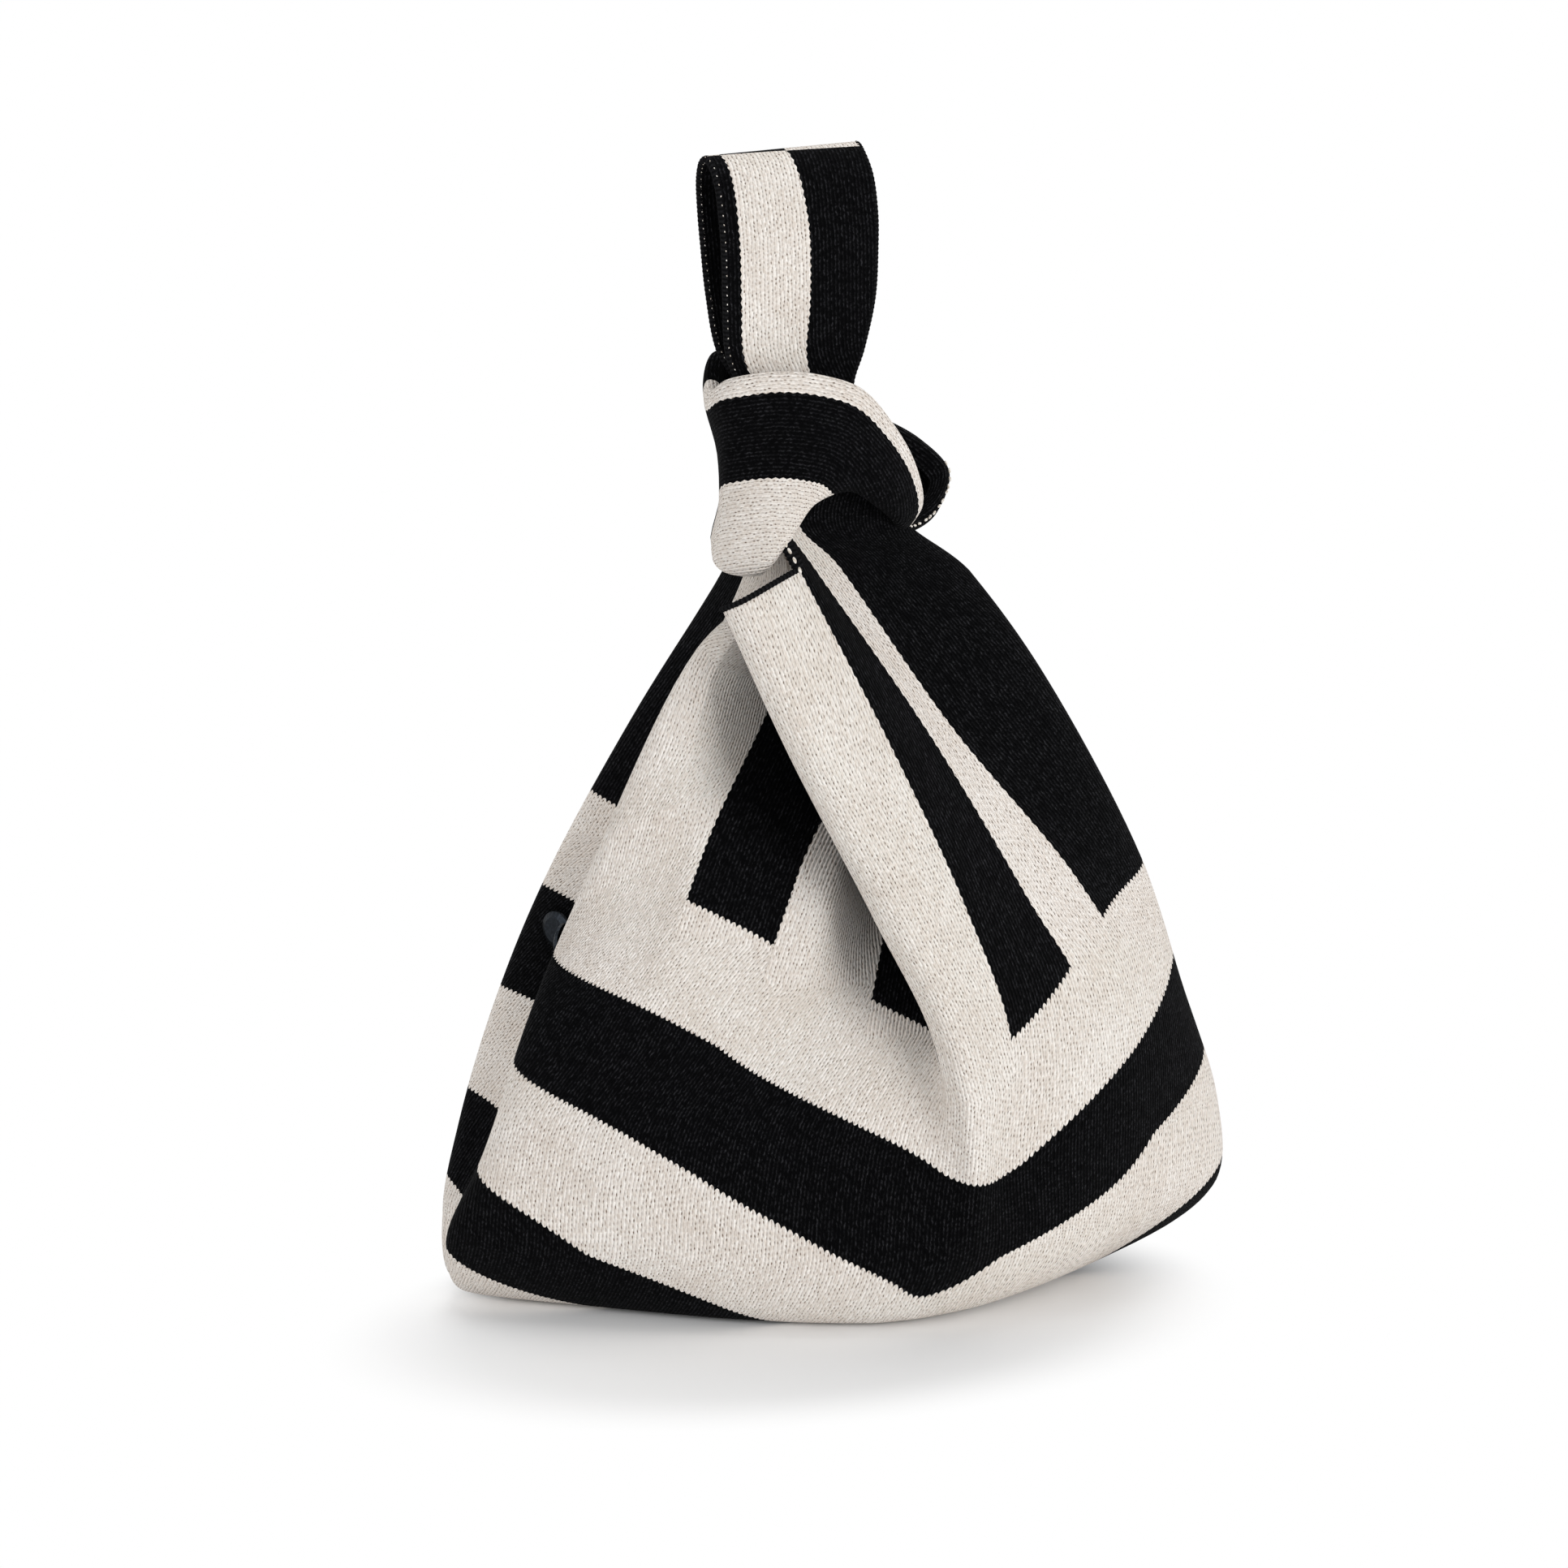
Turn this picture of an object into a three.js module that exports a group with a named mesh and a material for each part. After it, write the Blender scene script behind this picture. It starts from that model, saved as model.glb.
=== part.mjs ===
// A knitted knot bag: two striped panels sewn at the sides and the base, whose long
// handle is drawn through a short loop that holds the mouth shut as a knot.
import * as THREE from 'three';

// Driving sizes in millimetres. X runs left to right, -Y is the front, +Z is up.
const bodyWidth = 226; // corner to corner across the base
const bodyDepth = 132; // front bulge to back bulge, just above the floor
const bodyHeight = 209; // floor to the neck, under the knot
const fabric = 2; // thickness of the double knit
const gap = 0.3; // between pieces that touch
const seamOffset = 6; // the base seam lies this far behind the middle
const seamFin = 5; // width of the seam allowance inside
const seamFabric = 1.8; // thickness of the seam allowance
const hem = 2.2; // width of a rolled hem
const hemProud = 0.5; // a hem is this much thicker than the fabric

const knotHeight = 50; // neck to the top edge of the short loop
const knotShift = -14; // the knot sits left of the middle
const neckWidth = 36; // the long strap, gathered inside the knot
const neckDepth = 20;
const neckRise = 1; // the gathered strap stands this far out of the knot
const loopRoom = 9; // the short loop stands this far off the gathered strap

const handleHeight = 56; // pivot of the handle to its top
const handleWidth = 46; // the handle strap at its widest
const handleFoot = 37; // the handle strap where it leaves the knot
const handleTop = 43; // the handle strap at its top seam
const handleDepth = 20; // front leg to back leg at the widest
const handleFootDepth = 11; // front leg to back leg at the knot
const gatherRadius = 6; // the rolled gather that the handle bends about
const gatherSeat = 2.3; // the gather sinks this far into the strap below it
const handleShift = -2; // the handle leans this far left of the knot
const topSeam = 2; // width of the seam across the top of the handle
const baseSeamLength = 180; // seam tape along the base

const snapDiameter = 10.5;
const snapHeight = 1.6;
const snapBackDiameter = 8;
const snapBackHeight = 1;
const snapLevel = 0.6; // share of the way up the side
const snapAlong = 0.36; // share of the way from the side seam to the fold
const snapRim = 0.5; // height of a snap's straight rim, as a share of its height
const snapFlat = 0.7; // flat middle of a snap, as a share of its radius

const cream = 0xdfd8cc;
const black = 0x17171a;
const steel = 0x3d424c;
const yarn = { roughness: 0.95, metalness: 0 };
const plated = { roughness: 0.3, metalness: 0.8 };

// Ribs of the body from the floor edge to the neck, in percent of half the width, half the
// depth and the height. Front ribs run left to right, back ribs run right to left.
const frontRibs = [
  [
    [-98, 9, 0], [-96, 9, 9.5], [-87, 9, 21.5], [-72, 9, 38],
    [-59, 9, 55], [-42, 6, 76], [-29, 3, 96],
  ],
  [
    [-100, -12, 0], [-102, -17, 9.5], [-94, -20, 21], [-84, -23, 38],
    [-72, -23, 55], [-50, -18, 76], [-30, -14, 96],
  ],
  [
    [-71, -50, 0], [-70, -56, 9.5], [-65, -55, 21.5], [-58, -53, 38],
    [-48, -45, 55], [-28, -32, 76], [-26, -15, 96],
  ],
  [
    [-44, -70, 0], [-43, -76, 9.5], [-38, -71, 21.5], [-32, -62, 38],
    [-24, -52, 55], [-7, -36, 72], [-21, -8, 97],
  ],
  [
    [-21, -83, 0], [-19, -89, 9.5], [-12, -82, 21.5], [-5, -65, 38],
    [5, -50, 54], [7, -33, 72], [-17, -2, 98],
  ],
  [
    [-5, -89, 0], [-2, -97, 9.5], [5, -89, 21.5], [12, -70, 38],
    [16, -56, 54], [7, -39, 73], [-13, -9, 98],
  ],
  [
    [1, -91, 0], [6, -99, 9.5], [11, -94, 21], [8, -81, 38],
    [0, -68, 54], [-18, -51, 75], [-30, -33, 94],
  ],
  [
    [7, -92, 0], [13, -100, 9.5], [16, -100, 20], [8, -94, 38],
    [-5, -82, 54.5], [-23, -64, 75.5], [-36, -47, 93],
  ],
  [
    [21, -92, 0], [26, -97, 9.5], [26, -92, 21.5], [28, -86, 38],
    [19, -74, 55], [3, -58, 76], [-17, -38, 99],
  ],
  [
    [41, -86, 0], [45, -89, 9.5], [49, -83, 21.5], [50, -71, 41],
    [37, -58, 55], [15, -42, 76], [-12, -26, 99.5],
  ],
  [
    [58, -74, 0], [65, -76, 9.5], [67, -68, 21.5], [65, -55, 42],
    [53, -42, 55], [23, -32, 76], [-6, -17, 100],
  ],
  [
    [87, -33, 0], [94, -30, 9.5], [94, -24, 21.5], [84, -20, 38],
    [73, -15, 55], [54, -11, 76], [19, -5, 100],
  ],
  [
    [91, 9, 0], [93, 9, 9.5], [87, 9, 21.5], [73, 9, 38],
    [61, 9, 55], [43, 8, 76], [16, 8, 100],
  ],
];
const backRibs = [
  [
    [88, 45, 0], [94, 45, 9.5], [92, 42, 21.5], [84, 41, 38],
    [73, 36, 55], [51, 27, 76], [17, 17, 99.5],
  ],
  [
    [55, 79, 0], [58, 85, 9.5], [56, 80, 21.5], [49, 73, 38],
    [40, 62, 55], [23, 45, 76], [5, 26, 99],
  ],
  [
    [5, 91, 0], [5, 98, 9.5], [4, 94, 21.5], [2, 86, 38],
    [0, 76, 55], [-4, 53, 76], [-9, 29, 99.5],
  ],
  [
    [-55, 73, 0], [-58, 79, 9.5], [-54, 76, 21.5], [-49, 70, 38],
    [-42, 61, 55], [-27, 42, 76], [-21, 24, 98.5],
  ],
  [
    [-97, 24, 0], [-99, 26, 9.5], [-93, 30, 21.5], [-81, 38, 38],
    [-69, 36, 55], [-47, 27, 76], [-28, 18, 95],
  ],
];

// Stations of the short loop: the top edge and the bottom edge as shares of its half width,
// half depth and height. They run left, front, right and back, and the last joins the first.
const loopStations = [
  [[-1.0, 0.12, 0.9], [-1.0, -0.06, 0.0]],
  [[-0.81, -0.69, 0.98], [-0.89, -0.94, -0.02]],
  [[-0.3, -0.94, 1.0], [-0.48, -1.22, 0.0]],
  [[0.11, -1.0, 0.96], [-0.22, -1.22, 0.2]],
  [[0.48, -0.94, 0.86], [0.07, -1.22, 0.34]],
  [[0.85, -0.81, 0.68], [0.48, -1.19, 0.38]],
  [[1.11, -0.62, 0.46], [0.67, -1.0, 0.28]],
  [[1.28, -0.25, 0.26], [0.92, -0.5, 0.14]],
  [[1.5, 0.3, 0.2], [1.1, 0.1, 0.08]],
  [[1.74, 0.7, 0.28], [1.2, 0.6, 0.1]],
  [[1.63, 0.94, 0.5], [1.07, 0.94, 0.16]],
  [[1.22, 1.0, 0.66], [0.81, 1.0, 0.2]],
  [[0.52, 1.04, 0.82], [0.37, 1.08, 0.16]],
  [[-0.22, 1.04, 0.96], [-0.22, 1.08, 0.08]],
  [[-0.85, 0.78, 0.98], [-0.85, 0.85, 0.02]],
];
const loopApex = 7.5; // the station where the front half meets the back half
const loopSeam = 0.12; // half width of the seam at the apex, in stations
const loopBulge = 0.12; // outward roll of the band, as a share of its height

// What follows from the sizes
const halfWidth = bodyWidth / 2;
const halfDepth = bodyDepth / 2;
const loopHalfWidth = neckWidth / 2 + loopRoom;
const loopHalfDepth = neckDepth / 2 + loopRoom - fabric;
const loopHeight = knotHeight - hem - gap;
const knotTop = bodyHeight + knotHeight;
const neckTop = knotTop + neckRise;
const pivotHeight = neckTop + gatherRadius + gap - gatherSeat;
const allRibs = [...frontRibs, ...backRibs];
const seamLeft = 0;
const seamRight = frontRibs.length - 1;
const ribCurves = allRibs.map((rib) => curveThrough(rib.map(placeRib), false));

function placeRib([x, y, z]) {
  return new THREE.Vector3((x * halfWidth) / 100, (y * halfDepth) / 100, (z * bodyHeight) / 100);
}

function curveThrough(points, closed) {
  return new THREE.CatmullRomCurve3(points, closed, 'centripetal');
}

function evenly(first, last, steps) {
  return Array.from({ length: steps + 1 }, (_, k) => first + ((last - first) * k) / steps);
}

function move(point, x, y, z) {
  return new THREE.Vector3(point.x + x, point.y + y, point.z + z);
}

// Level outward direction of a row of points that runs with the outside on its right
function outwardAlong(row, k) {
  const before = row[Math.max(k - 1, 0)];
  const after = row[Math.min(k + 1, row.length - 1)];
  return new THREE.Vector3(after.y - before.y, before.x - after.x, 0).normalize();
}

function insetRow(row, depth) {
  return row.map((point, k) => point.clone().addScaledVector(outwardAlong(row, k), -depth));
}

// A closed shell between an outer and an inner grid of points. Rows run upwards, and
// columns run left to right as seen from outside.
function shell(outer, inner) {
  const rows = outer.length;
  const columns = outer[0].length;
  const positions = [];
  for (const grid of [outer, inner]) {
    for (const row of grid) {
      for (const point of row) positions.push(point.x, point.y, point.z);
    }
  }
  const at = (side, r, c) => side * rows * columns + r * columns + c;
  const faces = [];
  const quad = (a, b, c, d) => faces.push(a, b, c, a, c, d);
  for (let r = 0; r < rows - 1; r += 1) {
    for (let c = 0; c < columns - 1; c += 1) {
      quad(at(0, r, c), at(0, r, c + 1), at(0, r + 1, c + 1), at(0, r + 1, c));
      quad(at(1, r, c), at(1, r + 1, c), at(1, r + 1, c + 1), at(1, r, c + 1));
    }
    quad(at(0, r, 0), at(0, r + 1, 0), at(1, r + 1, 0), at(1, r, 0));
    const last = columns - 1;
    quad(at(0, r, last), at(1, r, last), at(1, r + 1, last), at(0, r + 1, last));
  }
  for (let c = 0; c < columns - 1; c += 1) {
    const top = rows - 1;
    quad(at(0, 0, c), at(1, 0, c), at(1, 0, c + 1), at(0, 0, c + 1));
    quad(at(0, top, c), at(0, top, c + 1), at(1, top, c + 1), at(1, top, c));
  }
  const geometry = new THREE.BufferGeometry();
  geometry.setAttribute('position', new THREE.Float32BufferAttribute(positions, 3));
  geometry.setIndex(faces);
  geometry.computeVertexNormals();
  return geometry;
}

const bag = new THREE.Group();

function addPiece(name, geometry, color, finish = yarn) {
  const material = new THREE.MeshStandardMaterial({ color, ...finish });
  const mesh = new THREE.Mesh(geometry, material);
  mesh.name = name;
  bag.add(mesh);
  return mesh;
}

// Body: one point of the lofted wall, by rib number and by share of the way up
function bodyRow(level, ribNumbers) {
  const ring = curveThrough(ribCurves.map((curve) => curve.getPoint(level)), true);
  return ribNumbers.map((rib) => ring.getPoint((rib / allRibs.length) % 1));
}

// Draws the two ends of a row back from the seam line
function clearEnds(row, distance) {
  const trimmed = row.map((point) => point.clone());
  const last = row.length - 1;
  const pull = (end, next) => trimmed[end].add(row[next].clone().sub(row[end]).setLength(distance));
  pull(0, 1);
  pull(last, last - 1);
  return trimmed;
}

const wallRows = 12;
const stepsPerRib = 2;
const roundSteps = 24;

function panel(firstRib, lastRib, seamSide) {
  const columns = evenly(firstRib, lastRib, (lastRib - firstRib) * stepsPerRib);
  const walls = evenly(0, 1, wallRows).map((level) => clearEnds(bodyRow(level, columns), gap / 2));
  const seamY = seamOffset + (seamSide * gap) / 2;
  const shrink = 1 - (2 * fabric) / halfWidth;
  const [start, end] = [walls[0][0].x, walls[0].at(-1).x];
  const seamPlaces = evenly(start * shrink, end * shrink, columns.length - 1);
  const seamRow = seamPlaces.map((x) => new THREE.Vector3(x, seamY, 0));
  const [foot, ...inner] = walls.map((row) => insetRow(row, fabric));
  return shell([seamRow, ...walls], [raise(seamRow, fabric), raise(foot, fabric), ...inner]);
}

function raise(row, rise) {
  return row.map((point) => move(point, 0, 0, rise));
}

addPiece('front_panel', panel(seamLeft, seamRight, -1), cream);
addPiece('back_panel', panel(seamRight, allRibs.length, 1), black);

// The panels' neck edge, outside and inside, over the wall's own columns
function neckEdge(firstColumn, lastColumn) {
  const columns = evenly(firstColumn - 1, lastColumn + 1, lastColumn - firstColumn + 2);
  const row = bodyRow(1, columns.map((column) => column / stepsPerRib));
  return [row, insetRow(row, fabric)].map((edge) => edge.slice(1, -1));
}

// A strip that stands on the neck edge
function neckHem(firstColumn, lastColumn) {
  const edges = neckEdge(firstColumn, lastColumn);
  return shell(...edges.map((edge) => [raise(edge, gap), raise(edge, gap + hem)]));
}

// The front neckline runs from the short loop to the long handle, the back one between them
const frontNeckline = [9, 17];
const backNeckline = [28, 31];
addPiece('front_neck_hem', neckHem(...frontNeckline), black);
addPiece('back_neck_hem', neckHem(...backNeckline), black);

// Seam allowances inside: a fin along each side seam and a tape along the base
const [finStart, finEnd] = [0.1, 0.9]; // shares of the way up the side

function sideSeam(rib, inward) {
  const edges = [fabric + gap, fabric + gap + seamFin].map((reach) => inward * reach);
  edges.sort((a, b) => a - b);
  const line = evenly(finStart, finEnd, wallRows).map((level) => bodyRow(level, [rib])[0]);
  const face = (y) => line.map((point) => edges.map((x) => move(point, x, y, 0)));
  return shell(face(-seamFabric / 2), face(seamFabric / 2));
}

addPiece('left_side_seam', sideSeam(seamLeft, 1), black);
addPiece('right_side_seam', sideSeam(seamRight, -1), black);

const seamTape = new THREE.BoxGeometry(baseSeamLength, seamFin, seamFabric);
seamTape.translate(0, seamOffset, fabric + gap + seamFabric / 2);
addPiece('base_seam', seamTape, black);

// Short loop: a rolled band round the gathered strap
const loopCurves = [0, 1].map((edge) => curveThrough(
  loopStations.map((station) => new THREE.Vector3(
    knotShift + station[edge][0] * loopHalfWidth,
    station[edge][1] * loopHalfDepth,
    bodyHeight + station[edge][2] * loopHeight,
  )),
  true,
));

// A row of the band, from 0 at its top edge to 1 at its bottom edge
function loopRow(share, stations) {
  const row = stations.map((station) => {
    const along = (station / loopStations.length + 1) % 1;
    return loopCurves[0].getPoint(along).lerp(loopCurves[1].getPoint(along), share);
  });
  return insetRow(row, -4 * share * (1 - share) * loopBulge * loopHeight);
}

// Rows of the band outside and inside, with the ends drawn back from the next piece. Each end
// takes its direction from the band beyond it, so that neighbours stay parallel.
function bandRows(shares, first, last, inset) {
  const steps = Math.ceil((last - first) / stationStep);
  const step = (last - first) / steps;
  const stations = evenly(first - step, last + step, steps + 2);
  const outer = shares.map((share) => insetRow(loopRow(share, stations), inset));
  const inner = outer.map((row) => insetRow(row, fabric));
  return [outer, inner].map((rows) => rows.map((row) => clearEnds(row.slice(1, -1), gap)));
}

function loopBand(first, last) {
  return shell(...bandRows(bandShares, first, last, 0));
}

// A hem that carries the band on past its top edge
function loopHem(first, last) {
  const [[below, outer], [, inner]] = bandRows(bandShares.slice(-2), first, last, 0);
  const onward = outer.map((point, k) => point.clone().sub(below[k]).normalize());
  const carry = (edge, reach) => edge.map((p, k) => p.clone().addScaledVector(onward[k], reach));
  return shell(...[outer, inner].map((edge) => [carry(edge, gap), carry(edge, gap + hem)]));
}

const stationStep = 0.5;
const bandShares = [1, 0.75, 0.5, 0.25, 0];
const loopEnd = loopStations.length;
const loopFrontEnd = loopApex - loopSeam;
const loopBackStart = loopApex + loopSeam;
addPiece('short_loop_front', loopBand(0, loopFrontEnd), cream);
addPiece('short_loop_back', loopBand(loopBackStart, loopEnd), black);
addPiece('short_loop_seam', loopBand(loopFrontEnd, loopBackStart), black);
addPiece('short_loop_front_hem', loopHem(0, loopFrontEnd), cream);
addPiece('short_loop_back_hem', loopHem(loopBackStart, loopEnd), black);

// Legs that carry the short loop: from the panel's neck edge up inside the band
function loopLeg({ column, station, steps }) {
  const [footOut, footIn] = neckEdge(column, column + steps).map((edge) => raise(edge, gap));
  const lastStation = station + steps * stationStep;
  const [rising] = bandRows(bandShares.slice(0, 3), station, lastStation, fabric + gap);
  return shell([footOut, ...rising], [footIn, ...rising.map((row) => insetRow(row, fabric))]);
}

const frontLeg = { column: 2, station: 0.5, steps: 3 };
const backLeg = { column: 33, station: 13.5, steps: 2 };
addPiece('short_loop_front_leg', loopLeg(frontLeg), cream);
addPiece('short_loop_back_leg', loopLeg(backLeg), black);

// Turns a shape drawn in Y and Z, and extruded along X, into place
const sideways = new THREE.Matrix4().makeBasis(
  new THREE.Vector3(0, 1, 0),
  new THREE.Vector3(0, 0, 1),
  new THREE.Vector3(1, 0, 0),
);

// Long strap gathered in the knot, with a round seat for the handle's gather in its top
function gatheredNeck() {
  const seatRadius = gatherRadius + gap;
  const seatAngle = Math.asin((pivotHeight - neckTop) / seatRadius);
  const outline = new THREE.Shape();
  outline.moveTo(-neckDepth / 2, bodyHeight + gap);
  outline.lineTo(neckDepth / 2, bodyHeight + gap);
  outline.lineTo(neckDepth / 2, neckTop);
  outline.absarc(0, pivotHeight, seatRadius, -seatAngle, seatAngle - Math.PI, true);
  outline.lineTo(-neckDepth / 2, neckTop);
  const along = { depth: neckWidth, bevelEnabled: false, curveSegments: roundSteps / 2 };
  const solid = new THREE.ExtrudeGeometry(outline, along);
  solid.applyMatrix4(sideways);
  solid.translate(knotShift - neckWidth / 2, 0, 0);
  return solid;
}

addPiece('long_strap_neck', gatheredNeck(), black);

// Handle: a gather to bend about, two legs with hems at their edges, and a seam on top
const handleX = knotShift + handleShift;
const gather = new THREE.CylinderGeometry(gatherRadius, gatherRadius, handleFoot, roundSteps);
gather.rotateZ(Math.PI / 2);
gather.translate(handleX, 0, pivotHeight);
addPiece('handle_gather', gather, black);

const legSteps = 10;
const widestAt = 0.55; // share of the way up a leg
const legStops = [[0.46, 0.35], [0.5, 0.6], [0.38, 0.9]]; // shares of the handle's depth and height

function legWidth(share) {
  if (share < widestAt) {
    const swell = Math.sin((share / widestAt) * (Math.PI / 2));
    return handleFoot + (handleWidth - handleFoot) * swell;
  }
  const draw = (share - widestAt) / (1 - widestAt);
  return handleWidth + (handleTop - handleWidth) * draw ** 2;
}

// The line of one leg in Y and Z, from the gather up to the top seam
function legLine(side) {
  const inside = handleFootDepth / 2 - fabric - hemProud;
  const foot = Math.sqrt((gatherRadius + gap) ** 2 - inside ** 2);
  const stops = [
    [handleFootDepth / 2, foot],
    ...legStops.map(([depth, height]) => [handleDepth * depth, handleHeight * height]),
    [topSeam / 2 + gap, handleHeight],
  ];
  return curveThrough(stops.map(([y, z]) => new THREE.Vector3(0, side * y, pivotHeight + z)), false);
}

// A strip of a leg between two edges, given as functions of its width at each height
function legStrip(side, firstEdge, lastEdge, columns, proud) {
  const line = legLine(side);
  const outer = [];
  const inner = [];
  for (const share of evenly(0, 1, legSteps)) {
    const point = line.getPoint(share);
    const tangent = line.getTangent(share);
    const out = new THREE.Vector3(0, side * tangent.z, -side * tangent.y);
    if (share === 1) out.set(0, 0, 1);
    const width = legWidth(share);
    const across = evenly(side * -firstEdge(width), side * -lastEdge(width), columns);
    const row = (reach) => across.map((x) => move(point, handleX + x, 0, 0).addScaledVector(out, reach));
    outer.push(row(proud));
    inner.push(row(-fabric - proud));
  }
  return shell(outer, inner);
}

const legColumns = 4;
for (const [side, face, color] of [[-1, 'front', cream], [1, 'back', black]]) {
  const clear = hem + gap;
  const leg = legStrip(side, (width) => clear - width / 2, (width) => width / 2 - clear, legColumns, 0);
  const firstHem = legStrip(side, (width) => -width / 2, (width) => hem - width / 2, 1, hemProud);
  const lastHem = legStrip(side, (width) => width / 2 - hem, (width) => width / 2, 1, hemProud);
  const [first, last] = side < 0 ? ['left', 'right'] : ['right', 'left'];
  addPiece(`handle_${face}_leg`, leg, color);
  addPiece(`handle_${face}_${first}_hem`, firstHem, black);
  addPiece(`handle_${face}_${last}_hem`, lastHem, black);
}

const seamBar = new THREE.BoxGeometry(handleTop, topSeam, fabric + hemProud);
seamBar.translate(handleX, 0, pivotHeight + handleHeight + (hemProud - fabric) / 2);
addPiece('handle_top_seam', seamBar, black);

// Snap fasteners of the side gussets: a cap outside and a plate inside on each face of the fold.
// Each sits on the faceted wall, so its seat is found on the wall's own rows and columns.
const snapProbe = 0.1; // ribs to either side that give a snap its direction
const snapReach = 0.7; // ribs, and shares of the height, searched round a snap
const snapRise = 0.06;

function wallPoint(rib, level) {
  const [row, column] = [level * wallRows, rib * stepsPerRib];
  const ends = [Math.floor(column), Math.floor(column) + 1].map((end) => end / stepsPerRib);
  const [low, high] = [Math.floor(row), Math.floor(row) + 1].map((level) => {
    const [left, right] = bodyRow(level / wallRows, ends);
    return left.lerp(right, column % 1);
  });
  return low.lerp(high, row % 1);
}

// How far the wall under a disc stands out from, and falls back behind, the disc's middle
function seatOnWall(rib, level, radius) {
  const centre = wallPoint(rib, level);
  const out = outwardAlong([wallPoint(rib - snapProbe, level), wallPoint(rib + snapProbe, level)], 0);
  let highest = 0;
  let lowest = 0;
  for (const up of evenly(level - snapRise, level + snapRise, roundSteps)) {
    for (const along of evenly(rib - snapReach, rib + snapReach, roundSteps)) {
      const offset = wallPoint(along, up).sub(centre);
      const height = offset.dot(out);
      const reach = offset.addScaledVector(out, -height).length();
      if (reach > radius + gap) continue;
      highest = Math.max(highest, height);
      lowest = Math.min(lowest, height);
    }
  }
  return { centre, out, highest, lowest };
}

function disc(diameter, height) {
  const radius = diameter / 2;
  const rim = [radius, height * snapRim];
  const outline = [[0, 0], [radius, 0], rim, [radius * snapFlat, height], [0, height]];
  const solid = new THREE.LatheGeometry(outline.map(([x, y]) => new THREE.Vector2(x, y)), roundSteps);
  return solid.rotateX(Math.PI / 2);
}

function addDisc(name, solid, centre, direction, distance) {
  const piece = addPiece(name, solid, steel, plated);
  piece.quaternion.setFromUnitVectors(new THREE.Vector3(0, 0, 1), direction);
  piece.position.copy(centre).addScaledVector(direction, distance);
}

function addSnap(name, rib) {
  const { centre, out, highest, lowest } = seatOnWall(rib, snapLevel, snapDiameter / 2);
  const inward = out.clone().negate();
  addDisc(`${name}_snap_cap`, disc(snapDiameter, snapHeight), centre, out, highest + gap);
  const plate = disc(snapBackDiameter, snapBackHeight);
  addDisc(`${name}_snap_plate`, plate, centre, inward, fabric + gap - lowest);
}

addSnap('left_front', seamLeft + snapAlong);
addSnap('left_back', allRibs.length - snapAlong);
addSnap('right_front', seamRight - snapAlong);
addSnap('right_back', seamRight + snapAlong);

export default bag;
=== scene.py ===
import math
import bpy
import numpy as np
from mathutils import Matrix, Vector


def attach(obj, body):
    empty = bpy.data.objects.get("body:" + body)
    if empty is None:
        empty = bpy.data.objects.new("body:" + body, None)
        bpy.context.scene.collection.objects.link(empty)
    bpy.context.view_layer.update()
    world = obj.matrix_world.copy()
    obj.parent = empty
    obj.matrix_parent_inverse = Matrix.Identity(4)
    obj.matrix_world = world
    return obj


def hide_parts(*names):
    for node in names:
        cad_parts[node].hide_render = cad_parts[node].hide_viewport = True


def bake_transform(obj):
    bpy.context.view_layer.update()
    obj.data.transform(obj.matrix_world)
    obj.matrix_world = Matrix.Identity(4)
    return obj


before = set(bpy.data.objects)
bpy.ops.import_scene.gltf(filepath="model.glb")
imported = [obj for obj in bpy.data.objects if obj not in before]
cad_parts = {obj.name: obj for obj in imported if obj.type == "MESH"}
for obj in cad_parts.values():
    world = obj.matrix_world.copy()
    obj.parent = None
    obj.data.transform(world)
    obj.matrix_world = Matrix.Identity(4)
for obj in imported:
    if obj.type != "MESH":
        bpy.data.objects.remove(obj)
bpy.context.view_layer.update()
mm = 0.001
chance = np.random.default_rng(11)
print("frame loaded")


# small helpers for nodes and colours

def linear(hexText):
    parts = [int(hexText[i:i + 2], 16) / 255 for i in (1, 3, 5)]
    return [p / 12.92 if p <= 0.04045 else ((p + 0.055) / 1.055) ** 2.4 for p in parts] + [1.0]


def add(tree, kind, links=None, **settings):
    made = tree.nodes.new("ShaderNode" + kind)
    for name, value in settings.items():
        setattr(made, name, value)
    for socket, value in (links or {}).items():
        if isinstance(value, bpy.types.Node):
            value = value.outputs[0]
        if isinstance(value, bpy.types.NodeSocket):
            tree.links.new(value, made.inputs[socket])
        else:
            made.inputs[socket].default_value = value
    return made


def newMaterial(name):
    material = bpy.data.materials.new(name)
    material.use_nodes = True
    material.node_tree.nodes.clear()
    return material, material.node_tree


# double-bed jacquard knit in combed cotton, matt, with painted shade in the small gaps between the stitch
# legs and a painted highlight on the black stitch legs;
# the two yarns change places on the reverse
knit = {
    "leg": 1.08,             # mm between the gaps across the cloth
    "course": 1.25,          # mm between rows of stitches
    "slant": 0.35,           # how far a leg leans, in courses
    "stagger": 0.5,          # courses between neighbouring legs
    "band": 31.25,           # mm, 25 courses
    "bandCount": 5,          # bands below the upright bars
    "tooth": 1.0,            # mm, the round stitches where a band ends
    "toothWide": 1.75,
    "scallop": 0.45,         # mm, the wavy edge of a bar
    "scallopLong": 2.25,
    "creamLight": "#FAF5EF",
    "creamDeep": "#E6DCD2",
    # painted shade: the colour that the gaps and creases between the stitch legs darken to
    "creamGapShade": "#6E5A4A",
    # painted highlight: the lighter colour on the crest of each black stitch leg
    "blackHighlight": "#46464A",
    "blackDeep": "#040405",
    "gapWide": 0.17,         # half a gap, in legs
    "gapTall": 0.28,         # half a gap, in courses
    "barsFrom": 6.0,         # mm below the foot of the bars at which they take over from the bands
    "plain": 4.0,            # mm, far enough from an edge of a bar to be one colour
    "creaseShade": 0.42,          # how dark the painted shade in the crease between two legs is, beside the gap
    "relief": 0.00035,       # m
}


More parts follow.
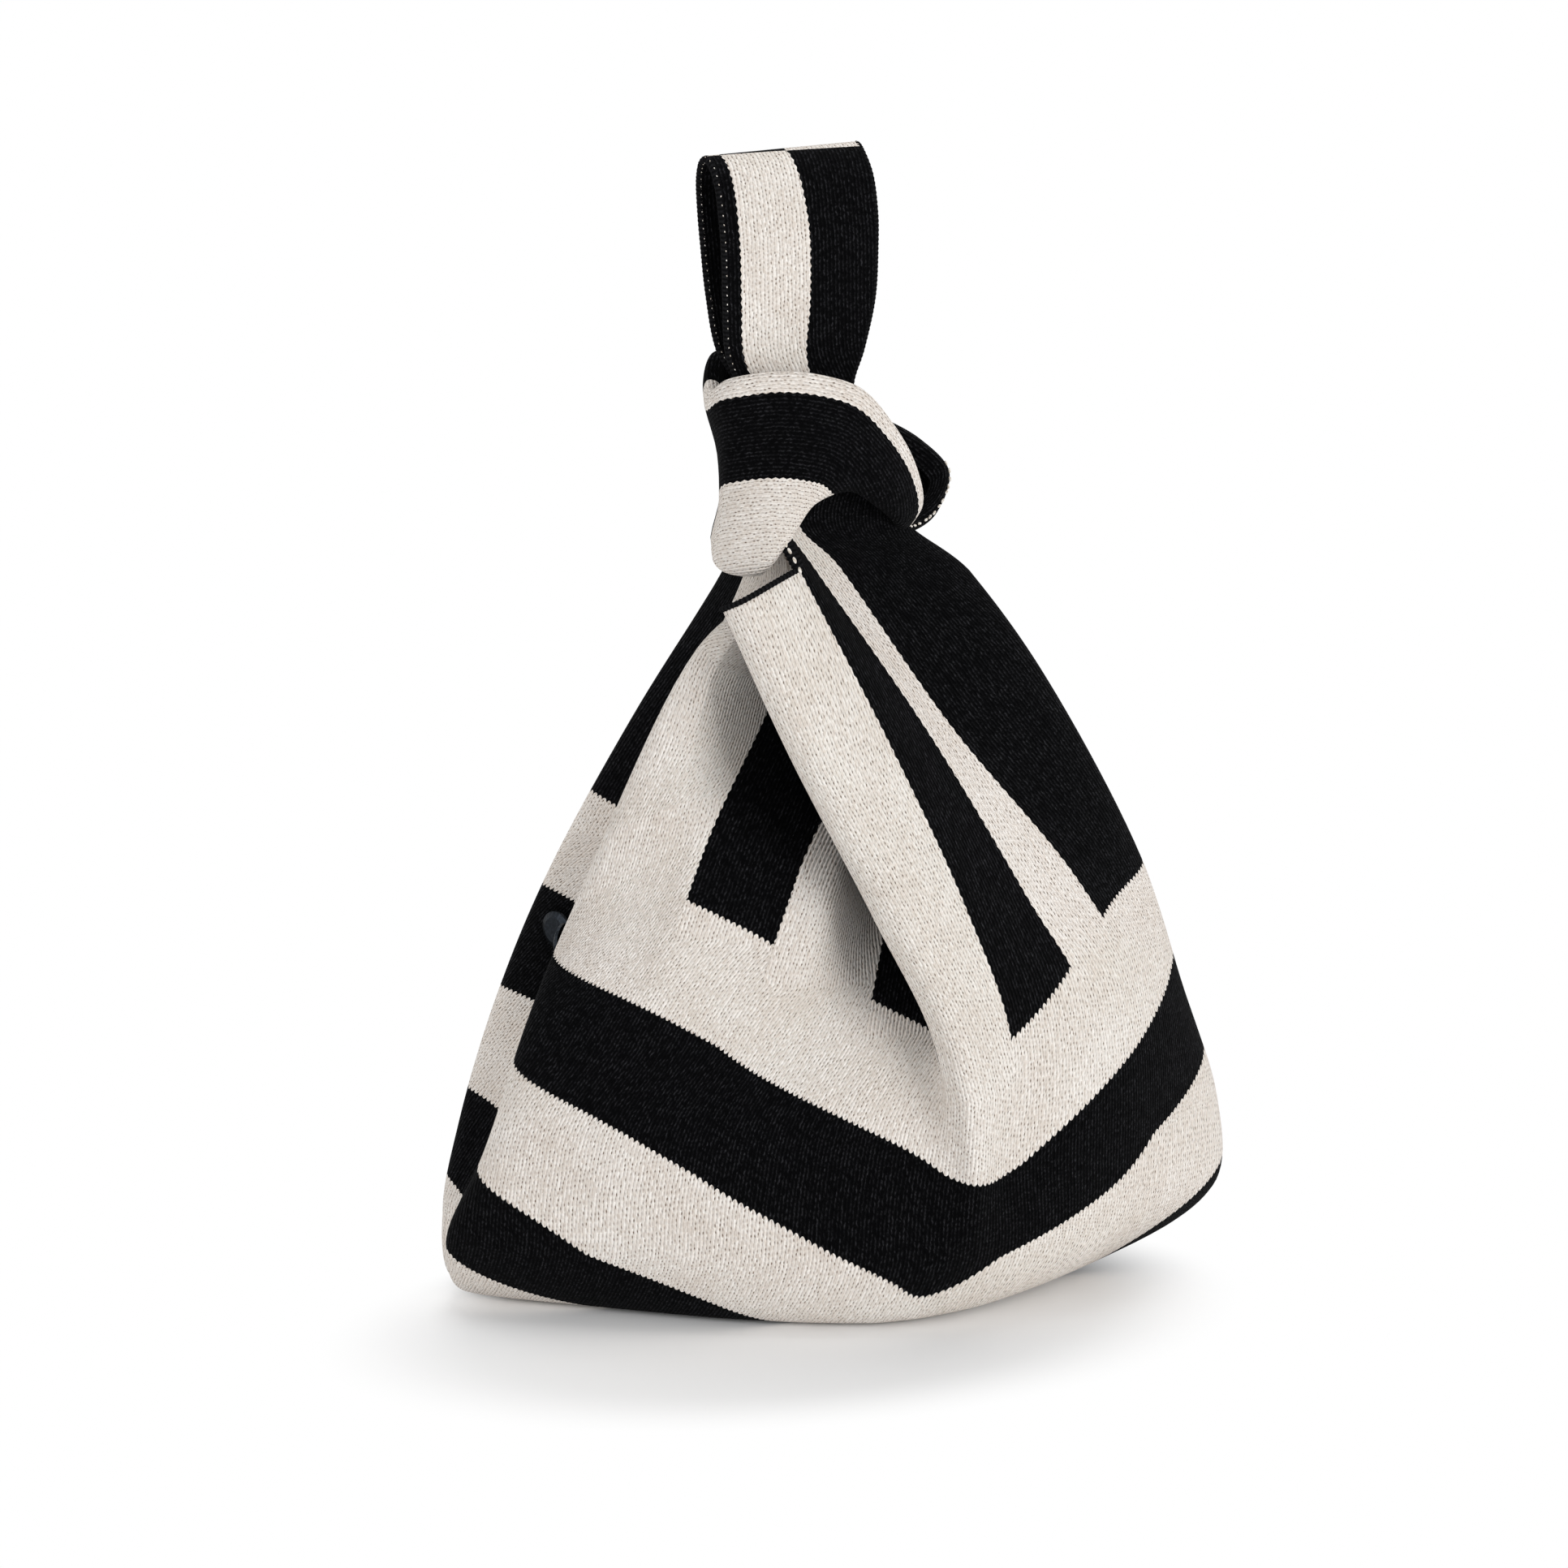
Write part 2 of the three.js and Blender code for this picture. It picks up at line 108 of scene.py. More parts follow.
def doubleKnit(name, reverse):
    material, tree = newMaterial(name)
    place = add(tree, "UVMap", uv_map="knit")           # millimetres on the flat cloth
    axes = add(tree, "SeparateXYZ", {0: place})
    across, along = axes.outputs[0], axes.outputs[1]

    leg = add(tree, "Math", {0: across, 1: 1 / knit["leg"]}, operation="MULTIPLY")
    legIndex = add(tree, "Math", {0: leg}, operation="FLOOR")
    legShare = add(tree, "Math", {0: leg}, operation="FRACT")
    offCentre = add(tree, "Math", {0: legShare, 1: 0.5}, operation="SUBTRACT")
    odd = add(tree, "Math", {0: legIndex, 1: 2.0}, operation="FLOORED_MODULO")
    sway = add(tree, "Math", {0: odd, 1: 2 * knit["slant"], 2: -knit["slant"]}, operation="MULTIPLY_ADD")
    lean = add(tree, "Math", {0: offCentre, 1: sway}, operation="MULTIPLY")
    rise = add(tree, "Math", {0: along, 1: 1 / knit["course"], 2: lean}, operation="MULTIPLY_ADD")
    stitch = add(tree, "Math", {0: odd, 1: knit["stagger"], 2: rise}, operation="MULTIPLY_ADD")
    row = add(tree, "Math", {0: stitch}, operation="FLOOR")
    rowShare = add(tree, "Math", {0: stitch}, operation="FRACT")

    # each gap has its own place and strength of painted shade
    cell = add(tree, "CombineXYZ", {0: legIndex, 1: row})
    luck = add(tree, "TexWhiteNoise", {"Vector": cell}, noise_dimensions="2D")
    jitter = add(tree, "SeparateXYZ", {0: luck.outputs["Color"]})
    shiftX = add(tree, "Math", {0: jitter.outputs[0], 1: 0.3, 2: -0.15}, operation="MULTIPLY_ADD")
    shiftY = add(tree, "Math", {0: jitter.outputs[1], 1: 0.4, 2: -0.7}, operation="MULTIPLY_ADD")
    gapX = add(tree, "Math", {0: offCentre, 1: shiftX}, operation="ADD")
    gapY = add(tree, "Math", {0: rowShare, 1: shiftY}, operation="ADD")
    wide = add(tree, "Math", {0: gapX, 1: 1 / knit["gapWide"]}, operation="MULTIPLY")
    tall = add(tree, "Math", {0: gapY, 1: 1 / knit["gapTall"]}, operation="MULTIPLY")
    wideSquare = add(tree, "Math", {0: wide, 1: wide}, operation="MULTIPLY")
    reach = add(tree, "Math", {0: tall, 1: tall, 2: wideSquare}, operation="MULTIPLY_ADD")
    gap = add(
        tree, "MapRange",
        {"Value": reach, "From Min": 0.1, "From Max": 1.7, "To Min": 1.0, "To Max": 0.0},
        interpolation_type="SMOOTHSTEP")
    depth = add(tree, "MapRange", {"Value": jitter.outputs[2], "To Min": 0.12, "To Max": 1.0})
    pit = add(tree, "Math", {0: gap, 1: depth}, operation="MULTIPLY")
    # a fainter painted shade runs on from each gap along the crease between the legs
    creaseReach = add(tree, "Math", {0: tall, 1: tall}, operation="MULTIPLY")
    creaseLong = add(tree, "Math", {0: creaseReach, 1: 0.16, 2: wideSquare}, operation="MULTIPLY_ADD")
    creaseShade = add(
        tree, "MapRange",
        {"Value": creaseLong, "From Min": 0.0, "From Max": 1.5, "To Min": knit["creaseShade"], "To Max": 0.0})
    shade = add(tree, "Math", {0: pit, 1: creaseShade}, operation="MAXIMUM")

    # which yarn is on top: bands below, bars above, with round cream stitches reaching into the black
    wale = add(tree, "Math", {0: across, 1: knit["toothWide"] / 2}, operation="PINGPONG")
    fromLobe = add(tree, "Math", {0: wale, 1: -2 / knit["toothWide"], 2: 1.0}, operation="MULTIPLY_ADD")
    notch = add(tree, "Math", {0: fromLobe, 1: fromLobe}, operation="MULTIPLY")
    lobe = add(tree, "Math", {0: notch, 1: knit["tooth"], 2: -knit["tooth"] / 2}, operation="MULTIPLY_ADD")
    half = knit["band"] / 2
    lifted = add(tree, "Math", {0: along, 1: half}, operation="SUBTRACT")
    swing = add(tree, "Math", {0: lifted, 1: knit["band"]}, operation="PINGPONG")
    bandMiddle = add(tree, "Math", {0: swing, 1: half}, operation="SUBTRACT")
    bandSide = add(tree, "Math", {0: bandMiddle, 1: lobe}, operation="ADD")
    barFoot = add(tree, "Math", {0: along, 1: knit["bandCount"] * knit["band"]}, operation="SUBTRACT")
    footSide = add(tree, "Math", {0: barFoot, 1: lobe}, operation="ADD")
    barSide = add(tree, "Attribute", attribute_name="bar", attribute_type="GEOMETRY")
    wave = add(tree, "Math", {0: along, 1: knit["scallopLong"] / 2}, operation="PINGPONG")
    waveShift = add(
        tree, "Math",
        {0: wave, 1: 2 * knit["scallop"] / knit["scallopLong"], 2: -knit["scallop"] / 2},
        operation="MULTIPLY_ADD")
    barEdge = add(tree, "Math", {0: barSide.outputs["Fac"], 1: waveShift}, operation="ADD")
    barBoth = add(tree, "Math", {0: barEdge, 1: footSide}, operation="MINIMUM")
    inBars = add(tree, "Math", {0: barFoot, 1: -knit["barsFrom"]}, operation="GREATER_THAN")
    side = add(tree, "Mix", {0: inBars, 2: bandSide, 3: barBoth}, data_type="FLOAT")
    black = add(tree, "Math", {0: side, 1: 0.0}, operation="GREATER_THAN")
    if reverse:
        black = add(tree, "Math", {0: 1.0, 1: black}, operation="SUBTRACT")

    # yarn tones
    fuzz = add(
        tree, "TexNoise", {"Vector": place, "Scale": 1.1, "Detail": 3.0, "Roughness": 0.6},
        noise_dimensions="2D")
    blotch = add(
        tree, "TexNoise", {"Vector": place, "Scale": 0.05, "Detail": 1.0, "Roughness": 0.5},
        noise_dimensions="2D")
    uneven = add(tree, "Math", {0: blotch, 1: 0.35, 2: fuzz}, operation="MULTIPLY_ADD")
    own = add(tree, "Math", {0: jitter.outputs[0], 1: 0.22, 2: uneven}, operation="MULTIPLY_ADD")
    tone = add(tree, "MapRange", {"Value": own, "From Min": 0.56, "From Max": 1.0})
    cream = add(
        tree, "Mix", {0: tone, 6: linear(knit["creamLight"]), 7: linear(knit["creamDeep"])},
        data_type="RGBA")
    # painted shade: the cream darkens to the gap colour in the gaps and creases between the legs
    creamPit = add(
        tree, "Mix", {0: shade, 6: cream.outputs[2], 7: linear(knit["creamGapShade"])}, data_type="RGBA")
    crestX = add(tree, "Math", {0: offCentre, 1: offCentre}, operation="MULTIPLY")
    crest = add(tree, "Math", {0: crestX, 1: 4.0}, operation="MULTIPLY")
    rowOff = add(tree, "Math", {0: rowShare, 1: 0.5}, operation="SUBTRACT")
    rowCrest = add(tree, "Math", {0: rowOff, 1: rowOff}, operation="MULTIPLY")
    rowMiddle = add(tree, "Math", {0: rowCrest, 1: -3.6, 2: 1.0}, operation="MULTIPLY_ADD")
    broken = add(tree, "Math", {0: crest, 1: rowMiddle}, operation="MULTIPLY")
    # painted highlight: the black yarn is painted lighter on the crest of each stitch leg, broken up by
    # fuzz
    tuft = add(tree, "MapRange", {"Value": fuzz, "From Min": 0.38, "From Max": 0.68})
    lit = add(tree, "Math", {0: tuft, 1: jitter.outputs[2]}, operation="MULTIPLY")
    paintedHighlight = add(tree, "Math", {0: broken, 1: lit}, operation="MULTIPLY")
    dark = add(
        tree, "Mix", {0: paintedHighlight, 6: linear(knit["blackDeep"]), 7: linear(knit["blackHighlight"])},
        data_type="RGBA")
    colour = add(tree, "Mix", {0: black, 6: creamPit.outputs[2], 7: dark.outputs[2]}, data_type="RGBA")

    # relief of the stitch legs
    legs = add(tree, "Math", {0: crest, 1: 0.3}, operation="MULTIPLY")
    stitches = add(tree, "Math", {0: broken, 1: 0.8, 2: legs}, operation="MULTIPLY_ADD")
    hollow = add(tree, "Math", {0: shade, 1: -0.9, 2: stitches}, operation="MULTIPLY_ADD")
    height = add(tree, "Math", {0: fuzz, 1: 0.5, 2: hollow}, operation="MULTIPLY_ADD")
    bump = add(tree, "Bump", {"Strength": 0.75, "Distance": knit["relief"], "Height": height})
    shader = add(tree, "BsdfPrincipled", {
        "Base Color": colour.outputs[2], "Roughness": 0.92, "Specular IOR Level": 0.03,
        "Sheen Weight": 0.015, "Sheen Roughness": 0.5, "Normal": bump})
    add(tree, "OutputMaterial", {"Surface": shader})
    return material


# the black yarn again, knitted narrow and rolled over at an edge: small ribs across the roll, painted
# darker in their grooves and lighter on their crests
hem = {
    "ribLong": 1.25, "dark": "#070708", "light": "#2A2A2C", "relief": 0.0003,
    "sides": 8, "step": 0.4,                 # faces round a roll, and mm between its rings
    "lumps": 0.12, "endTaper": 0.55,         # shares of its radius
    "facing": (0.3, -0.8, 0.5),              # the first face of each ring lies square to this
}


def rolledHem():
    material, tree = newMaterial("rolled_black_hem")
    place = add(tree, "UVMap", uv_map="knit")
    axes = add(tree, "SeparateXYZ", {0: place})
    rib = add(tree, "Math", {0: axes.outputs[1], 1: hem["ribLong"] / 2}, operation="PINGPONG")
    ribShare = add(tree, "Math", {0: rib, 1: 2 / hem["ribLong"]}, operation="MULTIPLY")
    fuzz = add(tree, "TexNoise", {"Vector": place, "Scale": 1.6, "Detail": 3.0}, noise_dimensions="2D")
    # painted shade and highlight: each rib goes from dark in its groove to light on its crest
    mixed = add(tree, "Math", {0: ribShare, 1: fuzz}, operation="MULTIPLY")
    colour = add(
        tree, "Mix", {0: mixed, 6: linear(hem["dark"]), 7: linear(hem["light"])}, data_type="RGBA")
    bump = add(tree, "Bump", {"Strength": 0.5, "Distance": hem["relief"], "Height": mixed})
    shader = add(tree, "BsdfPrincipled", {
        "Base Color": colour.outputs[2], "Roughness": 0.92, "Specular IOR Level": 0.03, "Normal": bump})
    add(tree, "OutputMaterial", {"Surface": shader})
    return material


# spun cotton sewing yarn, cream, two plies that show as slanted lines, painted darker as shade in the
# grooves between them
yarn = {"ply": 0.5, "light": "#F4F0EA", "dark": "#C9BFB0", "relief": 0.0001}


def sewingYarn():
    material, tree = newMaterial("cream_sewing_yarn")
    place = add(tree, "TexCoord")
    twist = add(
        tree, "TexWave", {"Vector": place.outputs["Object"], "Scale": 1 / (yarn["ply"] * mm * 2 * math.pi),
                          "Distortion": 2.0, "Detail": 1.0}, bands_direction="DIAGONAL")
    # painted shade: darker in the grooves between the plies
    colour = add(
        tree, "Mix", {0: twist, 6: linear(yarn["dark"]), 7: linear(yarn["light"])}, data_type="RGBA")
    bump = add(tree, "Bump", {"Strength": 0.4, "Distance": yarn["relief"], "Height": twist})
    shader = add(tree, "BsdfPrincipled", {
        "Base Color": colour.outputs[2], "Roughness": 0.85, "Specular IOR Level": 0.15, "Normal": bump})
    add(tree, "OutputMaterial", {"Surface": shader})
    return material


# pressed brass plated dark grey and tumbled: a soft metal gleam with fine scuffs
plating = {"tone": "#1F2226", "worn": "#33373D", "scuff": 0.6, "relief": 0.00004}


def darkPlating():
    material, tree = newMaterial("dark_plated_brass")
    place = add(tree, "TexCoord")
    scuffs = add(
        tree, "TexNoise", {"Vector": place.outputs["Object"], "Scale": 1 / (plating["scuff"] * mm),
                           "Detail": 4.0, "Roughness": 0.65})
    wear = add(tree, "MapRange", {"Value": scuffs, "From Min": 0.45, "From Max": 0.8})
    colour = add(
        tree, "Mix", {0: wear, 6: linear(plating["tone"]), 7: linear(plating["worn"])}, data_type="RGBA")
    rough = add(tree, "MapRange", {"Value": scuffs, "To Min": 0.3, "To Max": 0.5})
    bump = add(tree, "Bump", {"Strength": 0.2, "Distance": plating["relief"], "Height": scuffs})
    shader = add(tree, "BsdfPrincipled", {
        "Base Color": colour.outputs[2], "Metallic": 1.0, "Roughness": rough, "Normal": bump})
    add(tree, "OutputMaterial", {"Surface": shader})
    return material


knitFace = doubleKnit("striped_double_knit", False)
knitReverse = doubleKnit("striped_double_knit_reverse", True)
hemBlack = rolledHem()
yarnCream = sewingYarn()
snapMetal = darkPlating()
print("materials made")


# curves and meshes

def curveThrough(points, at, closed=False):
    # a centripetal curve; "at" counts stops, 0 at the first, and columns past the third ride along
    points = np.asarray(points, float)
    at = np.atleast_1d(np.asarray(at, float))
    count = len(points)
    spans = count if closed else count - 1
    first = np.clip(np.floor(at).astype(int), 0, spans - 1)
    w = (at - first)[:, None]
    if closed:
        p0, p1, p2, p3 = [points[(first + k) % count] for k in (-1, 0, 1, 2)]
    else:
        padded = np.vstack([2 * points[0] - points[1], points, 2 * points[-1] - points[-2]])
        p0, p1, p2, p3 = [padded[first + k] for k in range(4)]
    steps = []
    for a, b in ((p0, p1), (p1, p2), (p2, p3)):
        steps.append(np.maximum(np.linalg.norm((b - a)[:, :3], axis=1), 1e-4)[:, None] ** 0.5)
    d0, d1, d2 = steps
    t1 = ((p1 - p0) / d0 - (p2 - p0) / (d0 + d1) + (p2 - p1) / d1) * d1
    t2 = ((p2 - p1) / d1 - (p3 - p1) / (d1 + d2) + (p3 - p2) / d2) * d1
    return p1 + t1 * w + (3 * (p2 - p1) - 2 * t1 - t2) * w ** 2 + (2 * (p1 - p2) + t1 + t2) * w ** 3


def unit(vectors):
    return vectors / np.maximum(np.linalg.norm(vectors, axis=-1, keepdims=True), 1e-9)


def runLength(points):
    steps = np.linalg.norm(np.diff(points, axis=0), axis=-1)
    return np.concatenate([np.zeros((1,) + steps.shape[1:]), np.cumsum(steps, axis=0)])


def gridNormals(grid):
    return unit(np.cross(np.gradient(grid, axis=1), np.gradient(grid, axis=0)))


def newObject(name, corners, faces, uvs, material, bar=None, reverse=None, reverseFrom=None):
    mesh = bpy.data.meshes.new(name)
    mesh.from_pydata((np.asarray(corners) * mm).tolist(), [], faces)
    layer = mesh.uv_layers.new(name="knit")
    layer.data.foreach_set("uv", np.asarray(uvs, float).ravel())
    if bar is not None:
        side = mesh.attributes.new("bar", "FLOAT", "POINT")
        side.data.foreach_set("value", np.asarray(bar, float))
    mesh.materials.append(material)
    if reverse is not None:
        mesh.materials.append(reverse)
        indexes = np.zeros(len(faces), int)
        indexes[reverseFrom[0]:reverseFrom[1]] = 1
        mesh.polygons.foreach_set("material_index", indexes)
    mesh.polygons.foreach_set("use_smooth", np.ones(len(faces), bool))
    mesh.set_sharp_from_angle(angle=math.radians(70))
    made = bpy.data.objects.new(name, mesh)
    bpy.context.scene.collection.objects.link(made)
    return made


def clothShell(name, grid, across, along, bar, thickness, keep=None, reverseBar=None):
    # a closed shell: the outer face, the reverse of the cloth, and the rim between them
    # across holds a left and a right value for each column of faces, so that it may jump between them
    rows, columns = grid.shape[:2]
    if keep is None:
        keep = np.ones((rows - 1, columns - 1), bool)
    index = np.arange(rows * columns).reshape(rows, columns)
    quads = np.stack([index[:-1, :-1], index[:-1, 1:], index[1:, 1:], index[1:, :-1]], -1)[keep]
    left, right = across
    u = np.stack([left[:-1], right[:-1], right[1:], left[1:]], -1)[keep]
    v = np.stack([along[:-1, :-1], along[:-1, 1:], along[1:, 1:], along[1:, :-1]], -1)[keep]
    uv = np.stack([u, v], -1)
    used, quads = np.unique(quads, return_inverse=True)
    quads = quads.reshape(-1, 4)
    total = len(used)
    outer = grid.reshape(-1, 3)[used]
    inner = outer - gridNormals(grid).reshape(-1, 3)[used] * thickness
    starts, ends = quads.ravel(), np.roll(quads, -1, axis=1).ravel()
    uvStart, uvEnd = uv.reshape(-1, 2), np.roll(uv, -1, axis=1).reshape(-1, 2)
    free = ~np.isin(starts * total + ends, ends * total + starts)
    a, b = starts[free], ends[free]
    rim = np.stack([b, a, a + total, b + total], -1)
    rimUv = np.stack([uvEnd[free], uvStart[free], uvStart[free], uvEnd[free]], 1)
    back = quads[:, ::-1] + total
    faces = np.vstack([quads, back, rim])
    uvs = np.vstack([uv, uv[:, ::-1], rimUv])
    inside = bar if reverseBar is None else reverseBar
    values = np.concatenate([bar.ravel()[used], inside.ravel()[used]])
    return newObject(
        name, np.vstack([outer, inner]), faces.tolist(), uvs, knitFace, values, knitReverse,
        (len(quads), 2 * len(quads)))


def tubeParts(path, radius, lumps):
    # a capped tube; lumps swell it once for each rib of the hem
    sides = hem["sides"]
    length = runLength(path)
    forward = unit(np.gradient(path, axis=0))
    side = unit(np.cross(forward, np.array(hem["facing"])))
    lift = np.cross(side, forward)
    swell = radius * (1 + lumps * np.cos(2 * math.pi * length / hem["ribLong"]))
    taper = np.ones(len(path))
    taper[[0, -1]] = hem["endTaper"]
    angle = np.arange(sides) * 2 * math.pi / sides
    ring = side[:, None] * np.cos(angle)[:, None] + lift[:, None] * np.sin(angle)[:, None]
    corners = path[:, None] + ring * (swell * taper)[:, None, None]
    count = len(path)
    index = np.arange(count * sides).reshape(count, sides)
    following = np.roll(index, -1, axis=1)
    faces = np.stack([index[:-1], following[:-1], following[1:], index[1:]], -1).reshape(-1, 4).tolist()
    girth = 2 * math.pi * radius / sides
    uv = []
    for k in range(count - 1):
        for j in range(sides):
            uv += [(j * girth, length[k]), ((j + 1) * girth, length[k])]
            uv += [((j + 1) * girth, length[k + 1]), (j * girth, length[k + 1])]
    faces += [index[0][::-1].tolist(), index[-1].tolist()]
    uv += [(0.0, 0.0)] * sides + [(0.0, length[-1])] * sides
    return corners.reshape(-1, 3), faces, uv


def beadParts(centres, axes, lifts, long, wide, sides=8, rings=5):
    # short rounded stitches, each lying along its axis
    corners, faces, uv = [], [], []
    for centre, axis, lift in zip(centres, axes, lifts):
        first = len(corners)
        side = np.cross(axis, lift)
        corners.append(centre - axis * long / 2)
        for k in range(1, rings + 1):
            turn = math.pi * k / (rings + 1)
            for j in range(sides):
                around = 2 * math.pi * j / sides
                out = side * math.cos(around) + lift * math.sin(around)
                corners.append(centre - axis * long / 2 * math.cos(turn) + out * wide / 2 * math.sin(turn))
        corners.append(centre + axis * long / 2)
        last = len(corners) - 1
        for j in range(sides):
            nextJ = (j + 1) % sides
            faces.append([first, first + 1 + nextJ, first + 1 + j])
            for k in range(rings - 1):
                low = first + 1 + k * sides
                faces.append([low + j, low + nextJ, low + sides + nextJ, low + sides + j])
            top = first + 1 + (rings - 1) * sides
            faces.append([last, top + j, top + nextJ])
        uv += [(0.0, 0.0)] * (sides * 6 + sides * (rings - 1) * 4)
    return corners, faces, uv


def spaced(path, pitch):
    length = runLength(path)
    count = max(2, int(round(length[-1] / pitch)) + 1)
    at = np.linspace(0, length[-1], count)
    return np.stack([np.interp(at, length, path[:, k]) for k in range(3)], -1)


def hemTube(name, path, radius, rides="bag", lumps=hem["lumps"]):
    made = newObject(name, *tubeParts(spaced(path, hem["step"]), radius, lumps), hemBlack)
    if rides:
        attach(made, rides)
    return made


def stitchRow(name, path, facing, pitch, long, wide, lift, rides="bag"):
    # cream hand stitches laid along a hem on the side that it faces, no two quite alike
    route = spaced(path, pitch)
    forward = unit(np.gradient(route, axis=0))
    tiled = np.tile(facing, (len(route), 1))
    out = unit(tiled - (tiled * forward).sum(1, keepdims=True) * forward)
    slip = chance.uniform(-0.2, 0.2, (len(route), 1)) * pitch
    sway = chance.uniform(-0.35, 0.35, (len(route), 1))
    axes = unit(forward + np.cross(forward, out) * sway)
    out = unit(out - (out * axes).sum(1, keepdims=True) * axes)
    centres = route + out * lift + forward * slip
    made = newObject(name, *beadParts(centres, axes, out, long, wide), yarnCream)
    if rides:
        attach(made, rides)
    return made


# body: two knitted panels lofted on ribs, from the base seam up to the knot
body = {
    "width": 226, "depth": 132, "height": 209,       # mm; in the ribs x and y are percent of half, z of all
    "fabric": 2.0,
    "seamY": 6.0, "seamZ": 1.2, "seamLong": 180.0,   # mm, the seam along the base
    "baseInset": 14.0, "edgeRise": 2.2,              # mm, the rounding where wall and base meet
    "insetMost": 0.45,                               # the most of the way to the seam that it takes
    "stretchMost": 1.15,                             # mm of flat cloth for each mm up, above the bands
    "carryOn": (0.3, 0.6),                           # a rib that ends at the neck goes on by these shares
    "perRib": 10, "perStop": 11,                     # mesh columns and rows
    "waves": 9, "wobble": 0.45,                      # soft unevenness of filled cloth, in mm
}
# from the left seam over the front to the right seam, and round the back
ribs = [
    [[-98, 9, 0], [-96, 9, 9.5], [-87, 9, 21.5], [-72, 9, 38], [-59, 9, 55],
     [-42, 6, 76], [-24.5, 3, 96]],
    [[-97.5, -2, 0], [-102, -14, 9.5], [-94, -20, 21], [-84, -23, 38], [-70.5, -23, 55],
     [-38.3, -15.7, 88.2], [-22, -14, 96]],
    [[-67, -37, 0], [-69, -50, 9.5], [-65, -55, 21.5], [-58.6, -53, 38], [-40.5, -37, 63],
     [-17, -3, 81], [-17, -28, 98]],
    [[-42.5, -61, 0], [-43, -72, 9.5], [-38, -71, 21.5], [-34.3, -61.5, 38], [-18.7, -45.5, 59.2],
     [2, 3, 72.5], [-16, -24, 97.5]],
    [[-21, -77, 0], [-19, -87, 9.5], [-12, -82, 21.5], [-5, -64.5, 38], [8, -20.5, 54],
     [8.5, 3, 72], [-15, -20, 97.5]],
    [[-5, -85, 0], [-2, -95, 9.5], [5, -89, 21.5], [14, -69, 38], [13.3, -33, 54],
     [10, -14, 73], [-14, -20, 96.5]],
    [[1, -85.5, 0], [6, -98, 9.5], [11.5, -94, 21], [9.2, -84.8, 38], [-4.1, -73, 54.5],
     [-22.1, -55, 75.5], [-36.4, -38.5, 94.6]],
    [[7, -85, 0], [13, -99, 9.5], [17, -100.5, 20], [13.2, -95.5, 38], [1.3, -84, 54.5],
     [-17.8, -66, 75.5], [-32.5, -46.5, 96.2]],
    [[21, -79, 0], [26, -94, 9.5], [26, -92, 21.5], [28, -86, 38], [19, -74, 55],
     [3, -58, 76], [-17.1, -37, 99.2]],
    [[36, -66.5, 0], [44, -83, 9.5], [49, -83, 21.5], [50, -71, 41], [37, -58, 55],
     [15.3, -40.5, 76], [-12.4, -27.5, 98.8]],
    [[51, -50, 0], [62, -67, 9.5], [67, -68, 21.5], [65, -55, 42], [53, -42, 55],
     [22.5, -30.5, 76], [-4.6, -20.6, 98.1]],
    [[80, -11, 0], [94, -25, 9.5], [94, -24, 21.5], [84.6, -20, 38], [74.6, -15, 55],
     [48.5, -9, 82], [31, -7, 95.3]],
    [[88.5, 9, 0], [94, 9, 9.5], [87, 9, 21.5], [73, 9, 38], [61, 9, 55],
     [43, 8, 76], [24, 8, 96.5]],
    [[86, 45, 0], [93, 45, 9.5], [92, 42, 21.5], [84, 41, 38], [73, 36, 55],
     [51, 27, 76], [17, 17, 99.5]],
    [[55, 79, 0], [58, 85, 9.5], [56, 80, 21.5], [49, 73, 38], [40, 62, 55],
     [23, 45, 76], [5, 26, 99]],
    [[5, 91, 0], [5, 98, 9.5], [4, 94, 21.5], [2, 86, 38], [0, 76, 55],
     [-4, 53, 76], [-9, 29, 99.5]],
    [[-55, 73, 0], [-58, 79, 9.5], [-54, 76, 21.5], [-49, 70, 38], [-42, 61, 55],
     [-27, 42, 76], [-21, 24, 98.5]],
    [[-97, 24, 0], [-99, 26, 9.5], [-94, 28, 21.5], [-83, 34, 38], [-70, 32, 55],
     [-49.5, 25, 76], [-27.8, 18, 95]],
]
rightSeam = 12                                       # the rib at the right seam
neckStop = 8                                         # the stop of a rib that lies at the neckline
frontNeckRibs = (4, 8)                               # between these ribs the mouth is cut away
backNeckRibs = (15, 16)
# millimetres up each rib at which the five bands end; below zero lies under the base
bandEnds = [
    [24, 49, 77.5, 107, 132.4], [16.5, 39, 71, 103.2, 132], [-2, 18, 56.5, 92.5, 117.8],
    [-8, 4, 38, 75.6, 104.8], [-30, -6, 23.7, 60.8, 87.8], [-41, -15, 15.1, 49.3, 78],
    [-45, -18, 10.7, 44.3, 75], [-44, -16, 12.2, 43, 74], [-38, -11, 21.4, 43, 80],
    [-34, -6, 31.9, 57, 95], [-28, -3, 43.4, 69.5, 104.5], [0, 25.5, 68.5, 86, 114.3],
    [0, 27, 60, 88, 117], [10, 36, 64, 92, 120], [0, 26, 56, 86, 116],
    [-20, 8, 38, 68, 100], [4, 30, 60, 92, 122], [30.5, 53.5, 82, 112, 137],
]
bandTops = np.arange(1, knit["bandCount"] + 1) * knit["band"]
# two ribs more, on the shoulders of the pleat: place in mm at one stop, elsewhere they follow the others
shoulders = {1.8: (7, (-39.6, -15.5, 179)), 3.3: (6, (-12.5, -33.5, 118))}
